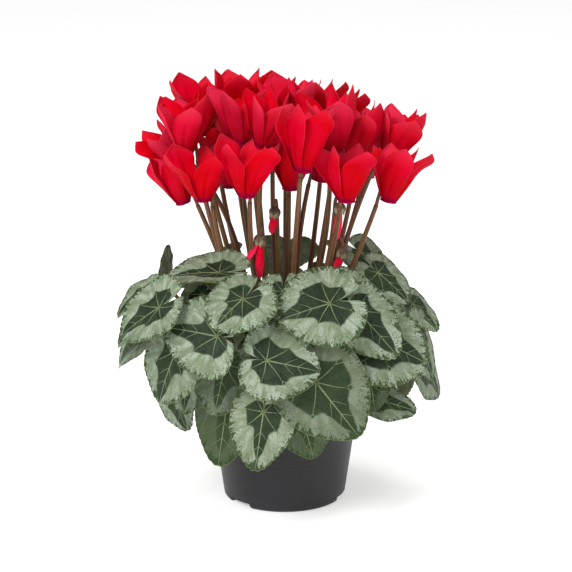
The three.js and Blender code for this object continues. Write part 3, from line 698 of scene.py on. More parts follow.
def petal_face(bloom, petal):
    """The middle face of a petal, and how far up it each row lies.

    t runs from the mouth to the tip and s across. The petal leaves the ring, leans out, twists
    about its middle line and bends its sides to the axis. Its width swells to past the middle and
    closes in a blunt tip. Its edge waves a little, and its tip curls in or out and sways to a side
    by a draw.
    """
    t = (1 - (1 - np.linspace(0, 1, PETAL_ROWS)) ** 1.5)[:, None]
    s = np.linspace(-1, 1, PETAL_COLUMNS)[None, :]
    chance = lambda k: draw(bloom.index, petal + k)
    lean = bloom.flare * bloom.open * (0.9 + 0.45 * chance(0))
    height = BLOOM_HEIGHT * bloom.size * bloom.tall * (0.86 + 0.16 * chance(10))
    azimuth = np.radians(bloom.spin + 72 * petal + 14 * t)
    twist = np.radians(6 + (36 + 60 * (chance(25) - 0.5)) * t ** 1.3)
    radius = (MOUTH_RADIUS * MOUTH_WAIST + PETAL_FLARE * lean * (1 - (1 - t) ** 1.9)) * bloom.size
    swell = 0.27 * (1 - t) ** 1.5 + t ** 0.98 * (1.004 - t ** 4.0) ** 0.5
    half = PETAL_WIDTH * bloom.size * (0.96 + 0.18 * chance(45)) * swell
    bend = (chance(20) - 0.4) * 12 * smooth(t, 0.45, 1.0) ** 1.3
    curl = (bend + 2.5 * t * t) * bloom.size * bloom.open
    hollow = 0.36 + 0.50 * (chance(35) - 0.5) * smooth(t, 0.2, 0.8)
    ruffle = 0.12 * half * s ** 3 * np.sin(6.28 * (1.2 * t + chance(30))) * smooth(t, 0.25, 0.7)
    crease = -0.16 * half * np.exp(-((s / 0.18) ** 2)) * (1 - smooth(t, 0.45, 0.95))
    outward = radius - hollow * half * s * s + half * s * np.sin(twist) + curl + ruffle + crease
    sway = (chance(55) - 0.5) * 11 * t * t * bloom.size
    sideways = half * s * np.cos(twist) + sway
    x = outward * np.cos(azimuth) - sideways * np.sin(azimuth)
    y = outward * np.sin(azimuth) + sideways * np.cos(azimuth)
    z = height * (t - TIP_ROUNDING * smooth(t, 0.55, 1.0) * s * s)
    return together(x, y, z), t[:, 0]


def thin_shell(face, thickness):
    """A closed shell round a middle face: its two sides lie half the thickness off along the
    normals, thinner at the edges, and meet in a point at both ends. Returns the shell, with 0 for
    the columns of the outer side and 1 for those of the inner one."""
    rows, columns, _ = face.shape
    across = np.abs(np.linspace(-1, 1, columns))[None, :, None]
    normal = unit(np.cross(np.gradient(face, axis=0), np.gradient(face, axis=1)))
    half = 0.5 * thickness * (1 - 0.5 * smooth(across, 0.8, 1.0))
    shell = np.concatenate([face + half * normal, (face - half * normal)[:, ::-1]], axis=1)
    ends = shell.mean(axis=1, keepdims=True) + 0 * shell
    side = np.broadcast_to(np.repeat((0.0, 1.0), columns), (rows + 2, 2 * columns))
    return np.concatenate([ends[:1], shell, ends[-1:]]), side


def add_petal(work, face, rise, mark):
    """Adds one petal, a thin closed shell round its middle face. rise says how far up it each row
    lies. The marks are the outer or inner side and two more for its colour."""
    shell, side = thin_shell(face, PETAL_THICKNESS)
    across = np.linspace(0, 1, face.shape[1])
    rise = np.concatenate([rise[:1], rise, rise[-1:]])[:, None]
    chart = together(np.concatenate([across, across[::-1]]), rise)
    work.grid(shell, chart, together(side, *mark), 0, wrap=True)


def add_petals(work, bloom):
    """Adds the five petals of a bloom."""
    for petal in range(PETALS):
        face, rise = petal_face(bloom, petal)
        mark = (draw(bloom.index, petal + 40), draw(bloom.index, 50))
        add_petal(work, bloom.place(face), rise, mark)


def add_cup(work, bloom):
    """Adds the cup of the corolla: a five-lobed dome from its apex down to the mouth, whose lip
    turns out round the petals' roots, and back up inside. Under it hangs the pistil."""
    wall, lip = 0.6, 0.8
    turn = np.linspace(0, 2 * math.pi, 40, endpoint=False)
    mouth = MOUTH_RADIUS * MOUTH_WAIST * bloom.size
    dome = [(CUP_HEIGHT * bloom.size * math.cos(a), (mouth + 0.2) * math.sin(a) ** 0.8)
            for a in np.linspace(0.0, 1.45, 9)]
    rim = [(-0.1 + lip * math.sin(a), mouth + 0.1 - lip * math.cos(a))
           for a in np.linspace(2.6, 5.6, 7)]
    inside = [(h - wall, max(r - wall, 0.0)) for h, r in dome[::-1]]
    rows = np.array(dome + rim + inside)
    height, radius = rows[:, 0][:, None], rows[:, 1][:, None]
    lobes = 1 + 0.05 * np.cos(5 * (turn - math.radians(bloom.spin))) * smooth(radius, 2, 6)
    grid = together(radius * lobes * np.cos(turn), radius * lobes * np.sin(turn), height)
    chart = together(turn / (2 * math.pi), np.full(height.shape, 0.05))
    work.grid(bloom.place(grid[::-1]), chart, (0.0, 0.5, draw(bloom.index, 50)), 0, wrap=True)
    radii = np.array([1.8, 1.6, 1.2, 0.8, 0.5, 0.45])
    line = together(0.0, 0.0, np.linspace(5, -1.2, len(radii)))
    pistil = tubes(line[None], radii, np.array((1.0, 0, 0)))
    work.grid(bloom.place(pistil), PLAIN_CHART, PLAIN_MARK, 2, wrap=True)


def sepal_fan(middle, out_axes, up, width, spread, drop):
    """Five pointed sepals round an axis: each is a narrow leaf shape, bent outwards and down."""
    t = np.linspace(0, 1, 8)[None, :, None, None]
    s = np.linspace(-1, 1, 5)[None, None, :, None]
    turn = np.arange(5) * 2 * math.pi / 5
    out = np.cos(turn)[:, None] * out_axes[0] + np.sin(turn)[:, None] * out_axes[1]
    side = -np.sin(turn)[:, None] * out_axes[0] + np.cos(turn)[:, None] * out_axes[1]
    out, side = out[:, None, None, :], side[:, None, None, :]
    half = width * (1 - t) ** 0.8 * (0.6 + 1.2 * t)
    reach = 0.8 + spread * np.sin(1.4 * t)
    face = middle + out * reach + side * half * s + up * (drop[0] + (drop[1] - drop[0]) * t)
    lift = out * 0.3 * (1 - t)
    return np.concatenate([face + lift, (face - lift)[:, :, ::-1]], axis=2)


def add_stalk_end(work, ends, start, stop, across):
    """Adds the hooked end of a stalk: a tube along one cubic curve, between two radii."""
    grid = tubes(bezier(ends, HOOK_STEPS)[None], np.linspace(start, stop, HOOK_STEPS), across)
    work.grid(grid, tube_chart(0.9, TUBE_SIDES, HOOK_STEPS), PLAIN_MARK, 1, wrap=True)


def add_hook(work, bloom):
    """Adds the end of the stalk beside the bloom, hooked over its cup, with the sepals on it."""
    size = bloom.size
    ends = np.array((bloom.beside(STALK_OFFSET, -HOOK_START - 1.0),
                     bloom.beside(STALK_OFFSET, 17 * size),
                     bloom.beside(0.2 * STALK_OFFSET, (CUP_HEIGHT + 14) * size),
                     bloom.beside(0, (CUP_HEIGHT - 0.8) * size)))
    across = np.cross(bloom.inward, bloom.up)
    add_stalk_end(work, ends, 0.82 * STALK_RADIUS, 0.67 * STALK_RADIUS, across)
    sepals = sepal_fan(bloom.mouth, (bloom.along, bloom.across), bloom.up, 1.7, 3.6 * size,
                       (CUP_HEIGHT * size + 0.8, CUP_HEIGHT * size - 2.2))
    chart = together(np.linspace(0, 1, sepals.shape[2]), np.linspace(0, 1, sepals.shape[1])[:, None])
    work.grid(sepals, chart, PLAIN_MARK, 3, wrap=True)


def stalk_curve(end, up):
    """The four points of a stalk: it swings out low down, then rises into the bloom's axis."""
    reach = math.hypot(end[0], end[1])
    share = min(1.0, CROWN_RADIUS / reach)
    start = np.array((end[0] * share, end[1] * share, TUBER_TOP - 5))
    rise = end[2] - start[2]
    low = np.array((0.45 * end[0], 0.2 * end[1], start[2] + 0.3 * rise))
    high = end - 0.4 * rise * up
    high[0] *= 0.9
    high[1] *= 0.65
    return np.array((start, low, high, end))


def bud_hook(row):
    """Points of a bud's stalk where it hooks over, from beside the calyx to its top."""
    _, x, y, z, _, _, _, reach = row
    calyx = np.array((x + PLANT_SHIFT, y, z), float)
    inward = unit(np.array((-x, -y, 0.0))) * reach
    steps = ((1, -reach - 1.0), (1.0, 1.6 * reach), (0.15, 1.7 * reach), (0, -0.5))
    return np.array([calyx + share * inward + (0, 0, rise) for share, rise in steps]), inward


def add_calyx(work, top, axis, side, other):
    """Adds a bud's calyx: a round cap whose lower edge runs out in five points, and comes back up
    inside."""
    turn = np.linspace(0, 2 * math.pi, 80, endpoint=False)[None, :]
    share = np.linspace(0, 1, 16)[:, None]
    points = np.abs(np.cos(2.5 * turn)) ** 1.2
    drop = (CALYX_DROP + CALYX_POINT * points * share ** 2) * share ** 1.15 - CALYX_RISE
    radius = CALYX_RADIUS * np.sin(0.5 * math.pi * np.minimum(1.25 * share ** 0.75, 1.0))
    radius = radius * (1 - 0.22 * smooth(share, 0.5, 1.0)) * (1 + 0.06 * np.cos(5 * turn) * share)
    rows = [(radius, drop), (np.maximum(radius - 0.5, 0)[::-1], (drop + 0.1)[::-1])]
    grid = np.concatenate([top + axis * h[..., None] + side * (r * np.cos(turn))[..., None]
                           + other * (r * np.sin(turn))[..., None] for r, h in rows])
    rise = share * (0.6 + 0.4 * points)
    chart = together(turn / (2 * math.pi), np.concatenate([rise, rise[::-1]]))
    work.grid(grid[:, ::-1], chart, PLAIN_MARK, 3, wrap=True)


def add_loose_petal(work, top, axis, side):
    """Adds the petal that has come loose beside a bud: it falls from under the calyx and drifts to
    a side, narrow at both ends and hollow across."""
    fall = np.linspace(0, 1, 16)[:, None, None]
    spread = np.linspace(-1, 1, 9)[None, :, None]
    half = LOOSE_HALF_WIDTH * np.sin(0.5 + 2.5 * fall ** 1.2)
    line = top + axis * (5 + LOOSE_FALL * fall) - side * (1.5 + LOOSE_REACH * fall ** 0.8)
    face = line - (0, 2.2, 0) + spread * half * (0.9, -0.3, 0.3) - (0, 0.8, 0) * spread ** 2
    add_petal(work, face, 0.3 + 0.7 * fall[:, 0, 0], (1.0, 1.0))


def add_bud(work, row, index):
    """Adds a bud: furled petals in a twisted five-ridged spindle, its calyx and its hook, and the
    loose petal beside one of them."""
    name, _, _, _, azimuth, angle, length, _ = row
    hook, inward = bud_hook(row)
    axis = leaning(azimuth, angle) * (1, 1, -1)
    side, other = sides_of(axis)
    t = np.linspace(0, 1, 30)[:, None]
    turn = np.linspace(0, 2 * math.pi, 40, endpoint=False)[None, :]
    swell = np.interp(t, (0, 0.04, 0.12, 0.3, 0.5, 0.72, 0.9, 1),
                      (0.4, 1.8, 2.5, 2.6, 2.8, 2.9, 2.1, 0))
    ridges = np.abs(np.cos(2.5 * (turn - 2.6 * t))) - 0.6
    radius = swell * (1 + 0.22 * ridges * smooth(t, 0.1, 0.3))
    top = hook[3] + (0, 0, 1)
    spindle = (top + axis * (length * t)[..., None] + side * (radius * np.cos(turn))[..., None]
               + other * (radius * np.sin(turn))[..., None])
    chart = together(0.5 + 0.5 * ridges, 0.25 + 0.75 * t)
    work.grid(spindle[:, ::-1], chart, (0.0, draw(index, 7), 0.15), 0, wrap=True)
    across = np.cross(inward, (0, 0, 1))
    add_stalk_end(work, hook, BUD_STALK_RADIUS, 0.8 * BUD_STALK_RADIUS, across)
    add_calyx(work, top, axis, side, other)
    if name == LOOSE_PETAL_BUD:
        add_loose_petal(work, top, axis, side)


# ---------------------------------------------------------------------------------------------
# Finishes
# ---------------------------------------------------------------------------------------------

class Value:
    """A node's output that is used in sums: each operator adds its Math node."""

    def __init__(self, finish, socket):
        self.finish = finish
        self.socket = socket

    def math(self, operation, *operands):
        """A Math node on these operands."""
        inputs = dict(enumerate(operands))
        return self.finish.node("ShaderNodeMath", {"operation": operation}, inputs)

    def __add__(self, other):
        return self.math("ADD", self, other)

    def __radd__(self, other):
        return self.math("ADD", other, self)

    def __sub__(self, other):
        return self.math("SUBTRACT", self, other)

    def __rsub__(self, other):
        return self.math("SUBTRACT", other, self)

    def __mul__(self, other):
        return self.math("MULTIPLY", self, other)

    def __rmul__(self, other):
        return self.math("MULTIPLY", other, self)

    def within(self, low, high):
        """0 below low, 1 above high and an even S between them."""
        inputs = {"Value": self, "From Min": low, "From Max": high}
        return self.finish.node("ShaderNodeMapRange", {"interpolation_type": "SMOOTHSTEP"}, inputs)


class Finish:
    """A procedural material whose nodes are added one by one."""

    def __init__(self, name):
        self.material = bpy.data.materials.new(name)
        self.material.use_nodes = True
        self.tree = self.material.node_tree
        self.tree.nodes.clear()

    def node(self, kind, settings=None, inputs=None, output=0):
        """Adds a node: first its settings, then the values or links of its sockets."""
        made = self.tree.nodes.new(kind)
        for name, value in (settings or {}).items():
            setattr(made, name, value)
        for key, value in (inputs or {}).items():
            if isinstance(value, Value):
                self.tree.links.new(value.socket, made.inputs[key])
            else:
                made.inputs[key].default_value = value
        return Value(self, made.outputs[output]) if len(made.outputs) else None

    def mark(self):
        """The three marks of a piece as values."""
        vector = self.node("ShaderNodeAttribute", {"attribute_name": "mark"}, output="Vector")
        return self.split(vector)

    def chart(self):
        """The two map values of a piece."""
        vector = self.node("ShaderNodeUVMap", {"uv_map": "chart"})
        return self.split(vector)[:2]

    def split(self, vector):
        """The three parts of a vector as values."""
        made = self.tree.nodes.new("ShaderNodeSeparateXYZ")
        self.tree.links.new(vector.socket, made.inputs[0])
        return [Value(self, output) for output in made.outputs]

    def join(self, x, y, z):
        """A vector from three values."""
        return self.node("ShaderNodeCombineXYZ", None, {0: x, 1: y, 2: z})

    def place(self):
        """The point on the piece, in metres."""
        return self.node("ShaderNodeTexCoord", output="Object")

    def noise(self, vector, scale, detail=2.0, roughness=0.5):
        """Noise from 0 to 1 at a scale."""
        inputs = {"Vector": vector, "Scale": scale, "Detail": detail, "Roughness": roughness}
        return self.node("ShaderNodeTexNoise", None, inputs)

    def mix(self, first, second, share):
        """A colour between two colours."""
        colours = {0: share, 6: paint(first), 7: paint(second)}
        return self.node("ShaderNodeMix", {"data_type": "RGBA"}, colours, 2)

    def bump(self, height, strength, distance):
        """A normal from a height."""
        inputs = {"Height": height, "Strength": strength, "Distance": distance}
        return self.node("ShaderNodeBump", None, inputs)

    def surface(self, see_through=None, **inputs):
        """Ends the material in a Principled shader. A thin sheet also passes a share of the light,
        in one colour."""
        named = {name.replace("_", " "): value for name, value in inputs.items()}
        shader = self.node("ShaderNodeBsdfPrincipled", None, named)
        if see_through:
            share, colour = see_through
            passed = self.node("ShaderNodeBsdfTranslucent", None, {"Color": paint(colour)})
            shader = self.node("ShaderNodeMixShader", None, {0: share, 1: shader, 2: passed})
        self.node("ShaderNodeOutputMaterial", None, {"Surface": shader})
        return self.material


def paint(colour):
    """A screen colour in 0 to 255 as linear light, or a value or a linear colour as it is."""
    if isinstance(colour, Value) or len(colour) == 4:
        return colour
    share = [c / 255 for c in colour]
    return tuple(c / 12.92 if c <= 0.04045 else ((c + 0.055) / 1.055) ** 2.4 for c in share) + (1.0,)


def leaf_finish():
    """The upper face: a dark heart round the hub, a silver band, and a green combed edge."""
    settings = bpy.context.scene.cyclamen_colours
    finish = Finish("leaf_upper")
    around, share = finish.chart()
    beyond, silver, tone = finish.mark()
    olive = tone.math("MODULO", tone, 2.0)
    kind = tone.math("FLOOR", tone * 0.5)
    place = finish.place()
    coarse = finish.noise(place, 110.0, 3.0)
    fine = finish.noise(place, 850.0, 3.0, 0.6)
    grain = finish.noise(place, 2400.0, 2.0, 0.6)
    net = finish.node("ShaderNodeTexVoronoi", {"feature": "DISTANCE_TO_EDGE"},
                      {"Vector": place, "Scale": 420.0}, "Distance").within(0.0, 0.16)
    comb = finish.noise(finish.join(around * 74.0, share * 2.0, kind * 7.3), 1.0, 2.0, 0.6)
    streak = finish.noise(finish.join(around * 40.0, share * 2.0, kind * 3.1), 1.0, 2.0, 0.5)
    band = (beyond + (coarse - 0.5) * 0.12 + (fine - 0.5) * 0.04).within(-0.02, 0.04)
    edge = (share + (comb - 0.5) * 0.60 + (fine - 0.5) * 0.16).within(0.93, 0.97)
    fleck = fine.within(0.54, 0.60) * (share + (streak - 0.5) * 0.3).within(0.66, 0.90) * 0.8
    green = finish.mix((24, 36, 22), settings.heart, coarse.within(0.35, 0.65))
    green = finish.mix(green, (56, 74, 26), olive * 0.8)
    green = finish.mix(green, (54, 76, 48), (1 - net) * 0.35)
    pale = finish.mix((122, 138, 106), settings.band, streak.within(0.3, 0.7))
    pale = finish.mix(pale, (104, 118, 84), coarse.within(0.48, 0.75) * 0.75)
    pale = finish.mix(pale, (152, 150, 128), (kind * 0.13).within(0.5, 1.2) * 0.35)
    pale = finish.mix(pale, (92, 114, 78), (1 - net) * 0.22)
    rim = finish.mix((24, 42, 16), (52, 78, 36), fine.within(0.35, 0.65))
    colour = finish.mix(green, pale, band * silver * (1 - fleck) * 0.97)
    colour = finish.mix(colour, rim, edge * 0.92)
    colour = finish.mix(colour, (118, 132, 78), share.within(0.982, 0.995) * 0.7)
    colour = finish.mix(colour, (96, 92, 44), 1 - share.within(0.01, 0.035))
    colour = finish.mix(colour, (18, 30, 18), grain.within(0.5, 0.8) * 0.25)
    height = fine * 0.4 + coarse * 0.3 + band * 0.2 + grain * 0.15 + net * 0.35
    return finish.surface(see_through=(0.05, (96, 110, 84)), Base_Color=colour,
                          Normal=finish.bump(height, 0.45, 0.0006),
                          Roughness=0.5 + (fine - 0.5) * 0.25, Specular_IOR_Level=0.22)


def underleaf_finish():
    """The lower face: dull olive green, paler along the edge and all over on a silver leaf."""
    finish = Finish("leaf_lower")
    _, share = finish.chart()
    _, silver, _ = finish.mark()
    place = finish.place()
    coarse = finish.noise(place, 160.0, 3.0)
    fine = finish.noise(place, 1100.0, 3.0, 0.6)
    colour = finish.mix((78, 94, 48), (112, 124, 80), coarse.within(0.3, 0.7))
    colour = finish.mix(colour, (96, 76, 58), fine.within(0.5, 0.8) * 0.3)
    colour = finish.mix(colour, (124, 136, 74), share.within(0.9, 1.0) * 0.7)
    colour = finish.mix(colour, (166, 166, 142), silver.within(1.2, SILVER_ALL_OVER) * 0.9)
    return finish.surface(see_through=(0.06, (96, 110, 64)), Base_Color=colour,
                          Normal=finish.bump(fine, 0.3, 0.0005), Roughness=0.62,
                          Specular_IOR_Level=0.25)


def vein_finish():
    """Veins: pale grey green, brown at the hub, fading into the band towards their ends."""
    finish = Finish("leaf_vein")
    _, share = finish.chart()
    _, silver, _ = finish.mark()
    fine = finish.noise(finish.place(), 700.0)
    colour = finish.mix((122, 136, 98), (84, 104, 70), fine.within(0.4, 0.7) * 0.7)
    colour = finish.mix(colour, (118, 136, 104), share.within(0.4, 0.7) * silver)
    colour = finish.mix(colour, (120, 112, 58), 1 - share.within(0.01, 0.05))
    return finish.surface(Base_Color=colour, Roughness=0.5, Specular_IOR_Level=0.3)


def stalk_finish():
    """Stalks and petioles: mauve brown with fine lengthwise streaks, some more olive."""
    finish = Finish("stalk")
    around, rise = finish.chart()
    place = finish.place()
    east, north, _ = finish.split(place)
    streak = finish.noise(finish.join(around * 9.0, rise * 3.0, east * 60.0), 1.0, 3.0)
    blotch = finish.noise(place, 90.0, 3.0)
    apart = finish.noise(finish.join(east * 45.0, north * 45.0, 0.0), 1.0, 1.0)
    fine = finish.noise(place, 1500.0)
    colour = finish.mix((86, 50, 32), (132, 90, 62), streak.within(0.3, 0.7))
    colour = finish.mix(colour, (112, 92, 46), (apart * 0.6 + blotch * 0.4).within(0.44, 0.64) * 0.6)
    colour = finish.mix(colour, (70, 40, 32), fine.within(0.5, 0.75) * 0.35)
    relief = finish.bump(streak * 0.6 + fine * 0.4, 0.3, 0.0004)
    return finish.surface(Base_Color=colour, Normal=relief, Roughness=0.5, Specular_IOR_Level=0.3)


def petal_finish():
    """Petals: velvety red, deep crimson low down as their own colour and painted shade, magenta at the
    mouth, painted shade on the inner side and painted highlights of pale pink towards the tip and along
    the edge.
    """
    settings = bpy.context.scene.cyclamen_colours
    finish = Finish("petal")
    across, rise = finish.chart()
    inner, petal, bloom = finish.mark()
    place = finish.place()
    cloud = finish.noise(place, 45.0, 2.0)
    vein = finish.noise(finish.join(across * 30.0, rise * 2.4, petal * 9.0), 1.0, 3.0, 0.6)
    fine = finish.noise(place, 1600.0, 2.0)
    aside = across - 0.5
    # The thin strip along each side edge that takes the painted highlight.
    edge_highlight = aside.math("ABSOLUTE", aside).within(0.47, 0.498)
    colour = finish.mix((228, 0, 26), settings.petals, cloud.within(0.3, 0.7))
    colour = finish.mix(colour, (255, 44, 96), (petal * 0.6 + bloom * 0.4).within(0.35, 0.85) * 0.55)
    # Painted shade: the inner side of each petal is darkened to deep crimson, together with the petal's
    # own darker veins.
    colour = finish.mix(colour, (160, 0, 10), inner * 0.5 + vein.within(0.5, 0.8) * 0.2)
    colour = finish.mix(colour, (206, 0, 8), (petal * 0.5 + cloud * 0.5).within(0.5, 0.3) * 0.5)
    # Painted highlight: pale pink over the upper part of each petal towards the tip, more on some
    # petals than others.
    colour = finish.mix(colour, (255, 96, 124), (rise - 0.3 + petal * 0.4).within(0.55, 1.1) * 0.24)
    # Deep crimson low down: partly the petal's own darker base, partly painted shade.
    colour = finish.mix(colour, (170, 0, 14), (1 - rise.within(0.05, 0.5)) * 0.6)
    colour = finish.mix(colour, (146, 0, 50), 1 - rise.within(0.03, 0.12))
    # Painted highlight: a pale pink line along the side edges of the upper petal.
    colour = finish.mix(colour, (244, 60, 96), edge_highlight * rise.within(0.2, 0.5) * 0.45)
    return finish.surface(see_through=(0.12, (230, 4, 32)), Base_Color=colour,
                          Normal=finish.bump(vein * 0.7 + fine * 0.3, 0.3, 0.0005), Roughness=0.62,
                          Sheen_Weight=0.08, Sheen_Roughness=0.3,
                          Sheen_Tint=paint((255, 40, 100)), Specular_IOR_Level=0.03)


def calyx_finish():
    """Sepals: grey brown, paler towards their points and brown again at the very tips."""
    finish = Finish("calyx")
    _, rise = finish.chart()
    fine = finish.noise(finish.place(), 900.0, 3.0)
    colour = finish.mix((70, 50, 38), (108, 88, 66), fine.within(0.35, 0.65))
    pale = rise.within(0.45, 0.7) * (1 - rise.within(0.8, 0.95))
    colour = finish.mix(colour, (168, 152, 116), pale * 0.7)
    colour = finish.mix(colour, (92, 62, 48), rise.within(0.88, 1.0) * 0.8)
    return finish.surface(Base_Color=colour, Roughness=0.6, Specular_IOR_Level=0.3)


def pistil_finish():
    """The pistil under the cup: dull purple."""
    finish = Finish("pistil")
    fine = finish.noise(finish.place(), 900.0)
    colour = finish.mix((120, 30, 60), (150, 70, 60), fine)
    return finish.surface(Base_Color=colour, Roughness=0.5)


def pot_finish():
    """Dark grey moulded plastic with a satin face, fine drawn lines, and dust in patches and low
    down."""
    settings = bpy.context.scene.cyclamen_colours
    finish = Finish("pot_plastic")
    place = finish.place()
    x, y, z = finish.split(place)
    lines = finish.noise(finish.join(x * 12.0, y * 12.0, z * 900.0), 1.0, 3.0, 0.6)
    grain = finish.noise(place, 1400.0, 2.0)
    cloud = finish.noise(place, 28.0, 3.0)
    dust = cloud.within(0.5, 0.75) * 0.35 + (1 - z.within(0.0, 0.012)) * 0.25
    colour = finish.mix((34, 34, 37), settings.pot, lines.within(0.3, 0.7))
    colour = finish.mix(colour, (62, 60, 59), dust * 0.5)
    relief = finish.bump(lines * 0.3 + grain * 0.7, 0.10, 0.0002)
    return finish.surface(Base_Color=colour, Normal=relief, Roughness=0.46 + (grain - 0.5) * 0.2,
                          Specular_IOR_Level=0.3)


def soil_finish():
    """Damp potting soil: dark brown with paler fibres and a few light grains."""
    finish = Finish("potting_soil")
    place = finish.place()
    coarse = finish.noise(place, 260.0, 4.0, 0.7)
    fine = finish.noise(place, 1300.0, 3.0, 0.7)
    colour = finish.mix((34, 24, 18), (74, 54, 38), coarse.within(0.35, 0.7))
    colour = finish.mix(colour, (118, 92, 64), fine.within(0.66, 0.74) * 0.6)
    relief = finish.bump(coarse * 0.6 + fine * 0.4, 0.8, 0.0012)
    return finish.surface(Base_Color=colour, Normal=relief, Roughness=0.95)


def tuber_finish():
    """The corky tuber: rough brown with darker cracks."""
    finish = Finish("tuber_cork")
    place = finish.place()
    coarse = finish.noise(place, 220.0, 4.0, 0.7)
    colour = finish.mix((66, 46, 34), (112, 82, 60), coarse.within(0.35, 0.65))
    relief = finish.bump(coarse, 0.8, 0.001)
    return finish.surface(Base_Color=colour, Normal=relief, Roughness=0.9)


def floor_finish():
    """A plain pale matt floor."""
    finish = Finish("floor")
    cloud = finish.noise(finish.place(), 3.0)
    colour = finish.mix((238, 238, 238), (242, 242, 242), cloud)
    return finish.surface(Base_Color=colour, Roughness=0.9, Specular_IOR_Level=0.0,
                          Emission_Color=(1, 1, 1, 1), Emission_Strength=0.45)


FINISHES = {}
LEAF_MAKERS = (leaf_finish, underleaf_finish, vein_finish)
BLOOM_MAKERS = (petal_finish, stalk_finish, pistil_finish, calyx_finish)


def finishes_of(*makers):
    """The materials that some functions make, each of them made once."""
    for make in makers:
        if make not in FINISHES:
            FINISHES[make] = make()
    return [FINISHES[make] for make in makers]


# ---------------------------------------------------------------------------------------------
# Settings, operators and panel
# ---------------------------------------------------------------------------------------------

class CyclamenPotSettings(bpy.types.PropertyGroup):
    """Sizes of the pot and its soil."""
    rim_radius: bpy.props.FloatProperty(
        name="Rim radius", description="Radius of the pot's rim", default=POT_BOX[1][0] - POT_AXIS[0],
        subtype="DISTANCE", unit="LENGTH")
    height: bpy.props.FloatProperty(
        name="Height", description="Height of the pot", default=POT_BOX[1][2],
        subtype="DISTANCE", unit="LENGTH")
    edge_round: bpy.props.FloatProperty(
        name="Edge rounding", description="How far each moulded corner is eased", default=0.0008,
        subtype="DISTANCE", unit="LENGTH")
    crumbs: bpy.props.IntProperty(
        name="Crumbs", description="Loose crumbs on the soil", default=900, min=0)


def colour_setting(name, description, colour):
    """A property that holds a linear colour, from its screen colour in 0 to 255."""
    return bpy.props.FloatVectorProperty(name=name, description=description, default=paint(colour),
                                         subtype="COLOR", size=4, min=0, max=1)


class CyclamenColourSettings(bpy.types.PropertyGroup):
    """The main colours of the plant and its pot."""
    petals: colour_setting("Petals", "The brighter red of the petals", (248, 2, 56))
    band: colour_setting("Silver band", "The brighter streaks of the leaves' band", (170, 184, 164))
    heart: colour_setting("Dark heart", "The lighter green of the leaves' heart", (40, 56, 36))
    pot: colour_setting("Pot", "The lighter grey of the pot", (39, 39, 42))


class CyclamenStageSettings(bpy.types.PropertyGroup):
    """The camera and the light."""
    camera_height: bpy.props.FloatProperty(
        name="Camera height", description="Height of the camera over the floor", default=0.614,
        subtype="DISTANCE", unit="LENGTH")
    camera_distance: bpy.props.FloatProperty(
        name="Camera distance", description="Level distance of the camera from the pot's axis",
        default=1.6, subtype="DISTANCE", unit="LENGTH")
    camera_pitch: bpy.props.FloatProperty(
        name="Camera pitch", description="How far the camera looks down", subtype="ANGLE",
        default=math.radians(15.708), unit="ROTATION")
    lens: bpy.props.FloatProperty(
        name="Lens", description="Focal length on a 36 mm sensor", default=139.4,
        subtype="DISTANCE_CAMERA", unit="CAMERA")
    sky: bpy.props.FloatProperty(
        name="Sky", description="Strength of the light from all round", default=0.52, min=0)


class CYCLAMEN_OT_pot(bpy.types.Operator):
    """Makes the pot: a turned shell with a lip, on a foot ring cut by drain notches"""
    bl_idname = "cyclamen.pot"
    bl_label = "Pot"

    def execute(self, context):
        settings = context.scene.cyclamen_pot
        rim, top = settings.rim_radius / MM, settings.height / MM
        spread = rim - POT_LIP_DEPTH - POT_BASE_RADIUS
        wall = lambda height: POT_BASE_RADIUS + spread * height / top
        lip = top - POT_LIP_HEIGHT
        below, above = POT_GROOVE - GROOVE_HALF_WIDTH, POT_GROOVE + GROOVE_HALF_WIDTH
        groove = ((wall(below), below), (wall(POT_GROOVE) - GROOVE_DEPTH, POT_GROOVE),
                  (wall(above), above))
        inner_foot = POT_BASE_RADIUS - FOOT_WIDTH
        corners = [
            (0, FOOT_HEIGHT), (inner_foot, FOOT_HEIGHT), (inner_foot + 1, 0),
            (POT_BASE_RADIUS - FOOT_BEVEL, 0), (wall(FOOT_BEVEL), FOOT_BEVEL), *groove,
            *((wall(belt), belt) for belt in POT_BELTS),
            (wall(lip), lip), (rim, lip), (rim, top), (wall(top) - POT_WALL, top),
            (wall(POT_BELTS[1]) - POT_WALL, POT_BELTS[1]),
            (wall(POT_FLOOR) - POT_WALL, POT_FLOOR), (0, POT_FLOOR),
        ]
        profile = eased(corners, settings.edge_round / MM)
        grid = turned(profile, POT_COLUMNS)
        azimuth = np.degrees(np.arctan2(grid[..., 1], grid[..., 0]))
        radius = np.hypot(grid[..., 0], grid[..., 1])
        half = math.degrees(math.asin(0.5 * NOTCH_WIDTH / POT_BASE_RADIUS))
        cut = np.zeros_like(radius)
        for middle in NOTCH_AZIMUTHS:
            away = np.abs((azimuth - middle + 180) % 360 - 180)
            cut = np.maximum(cut, 1 - smooth(away, half - 0.6, half + 0.6))
        under = (radius > inner_foot - 0.01) & (grid[..., 2] < NOTCH_HEIGHT)
        grid[..., 2] = np.where(under, np.maximum(grid[..., 2], NOTCH_HEIGHT * cut), grid[..., 2])
        work = Patchwork()
        work.grid(grid[:, ::-1], PLAIN_CHART, PLAIN_MARK, 0, wrap=True)
        piece = work.finish("pot_shell", finishes_of(pot_finish), "pot", "pot")
        piece.data.set_sharp_from_angle(angle=math.radians(40))
        return {"FINISHED"}


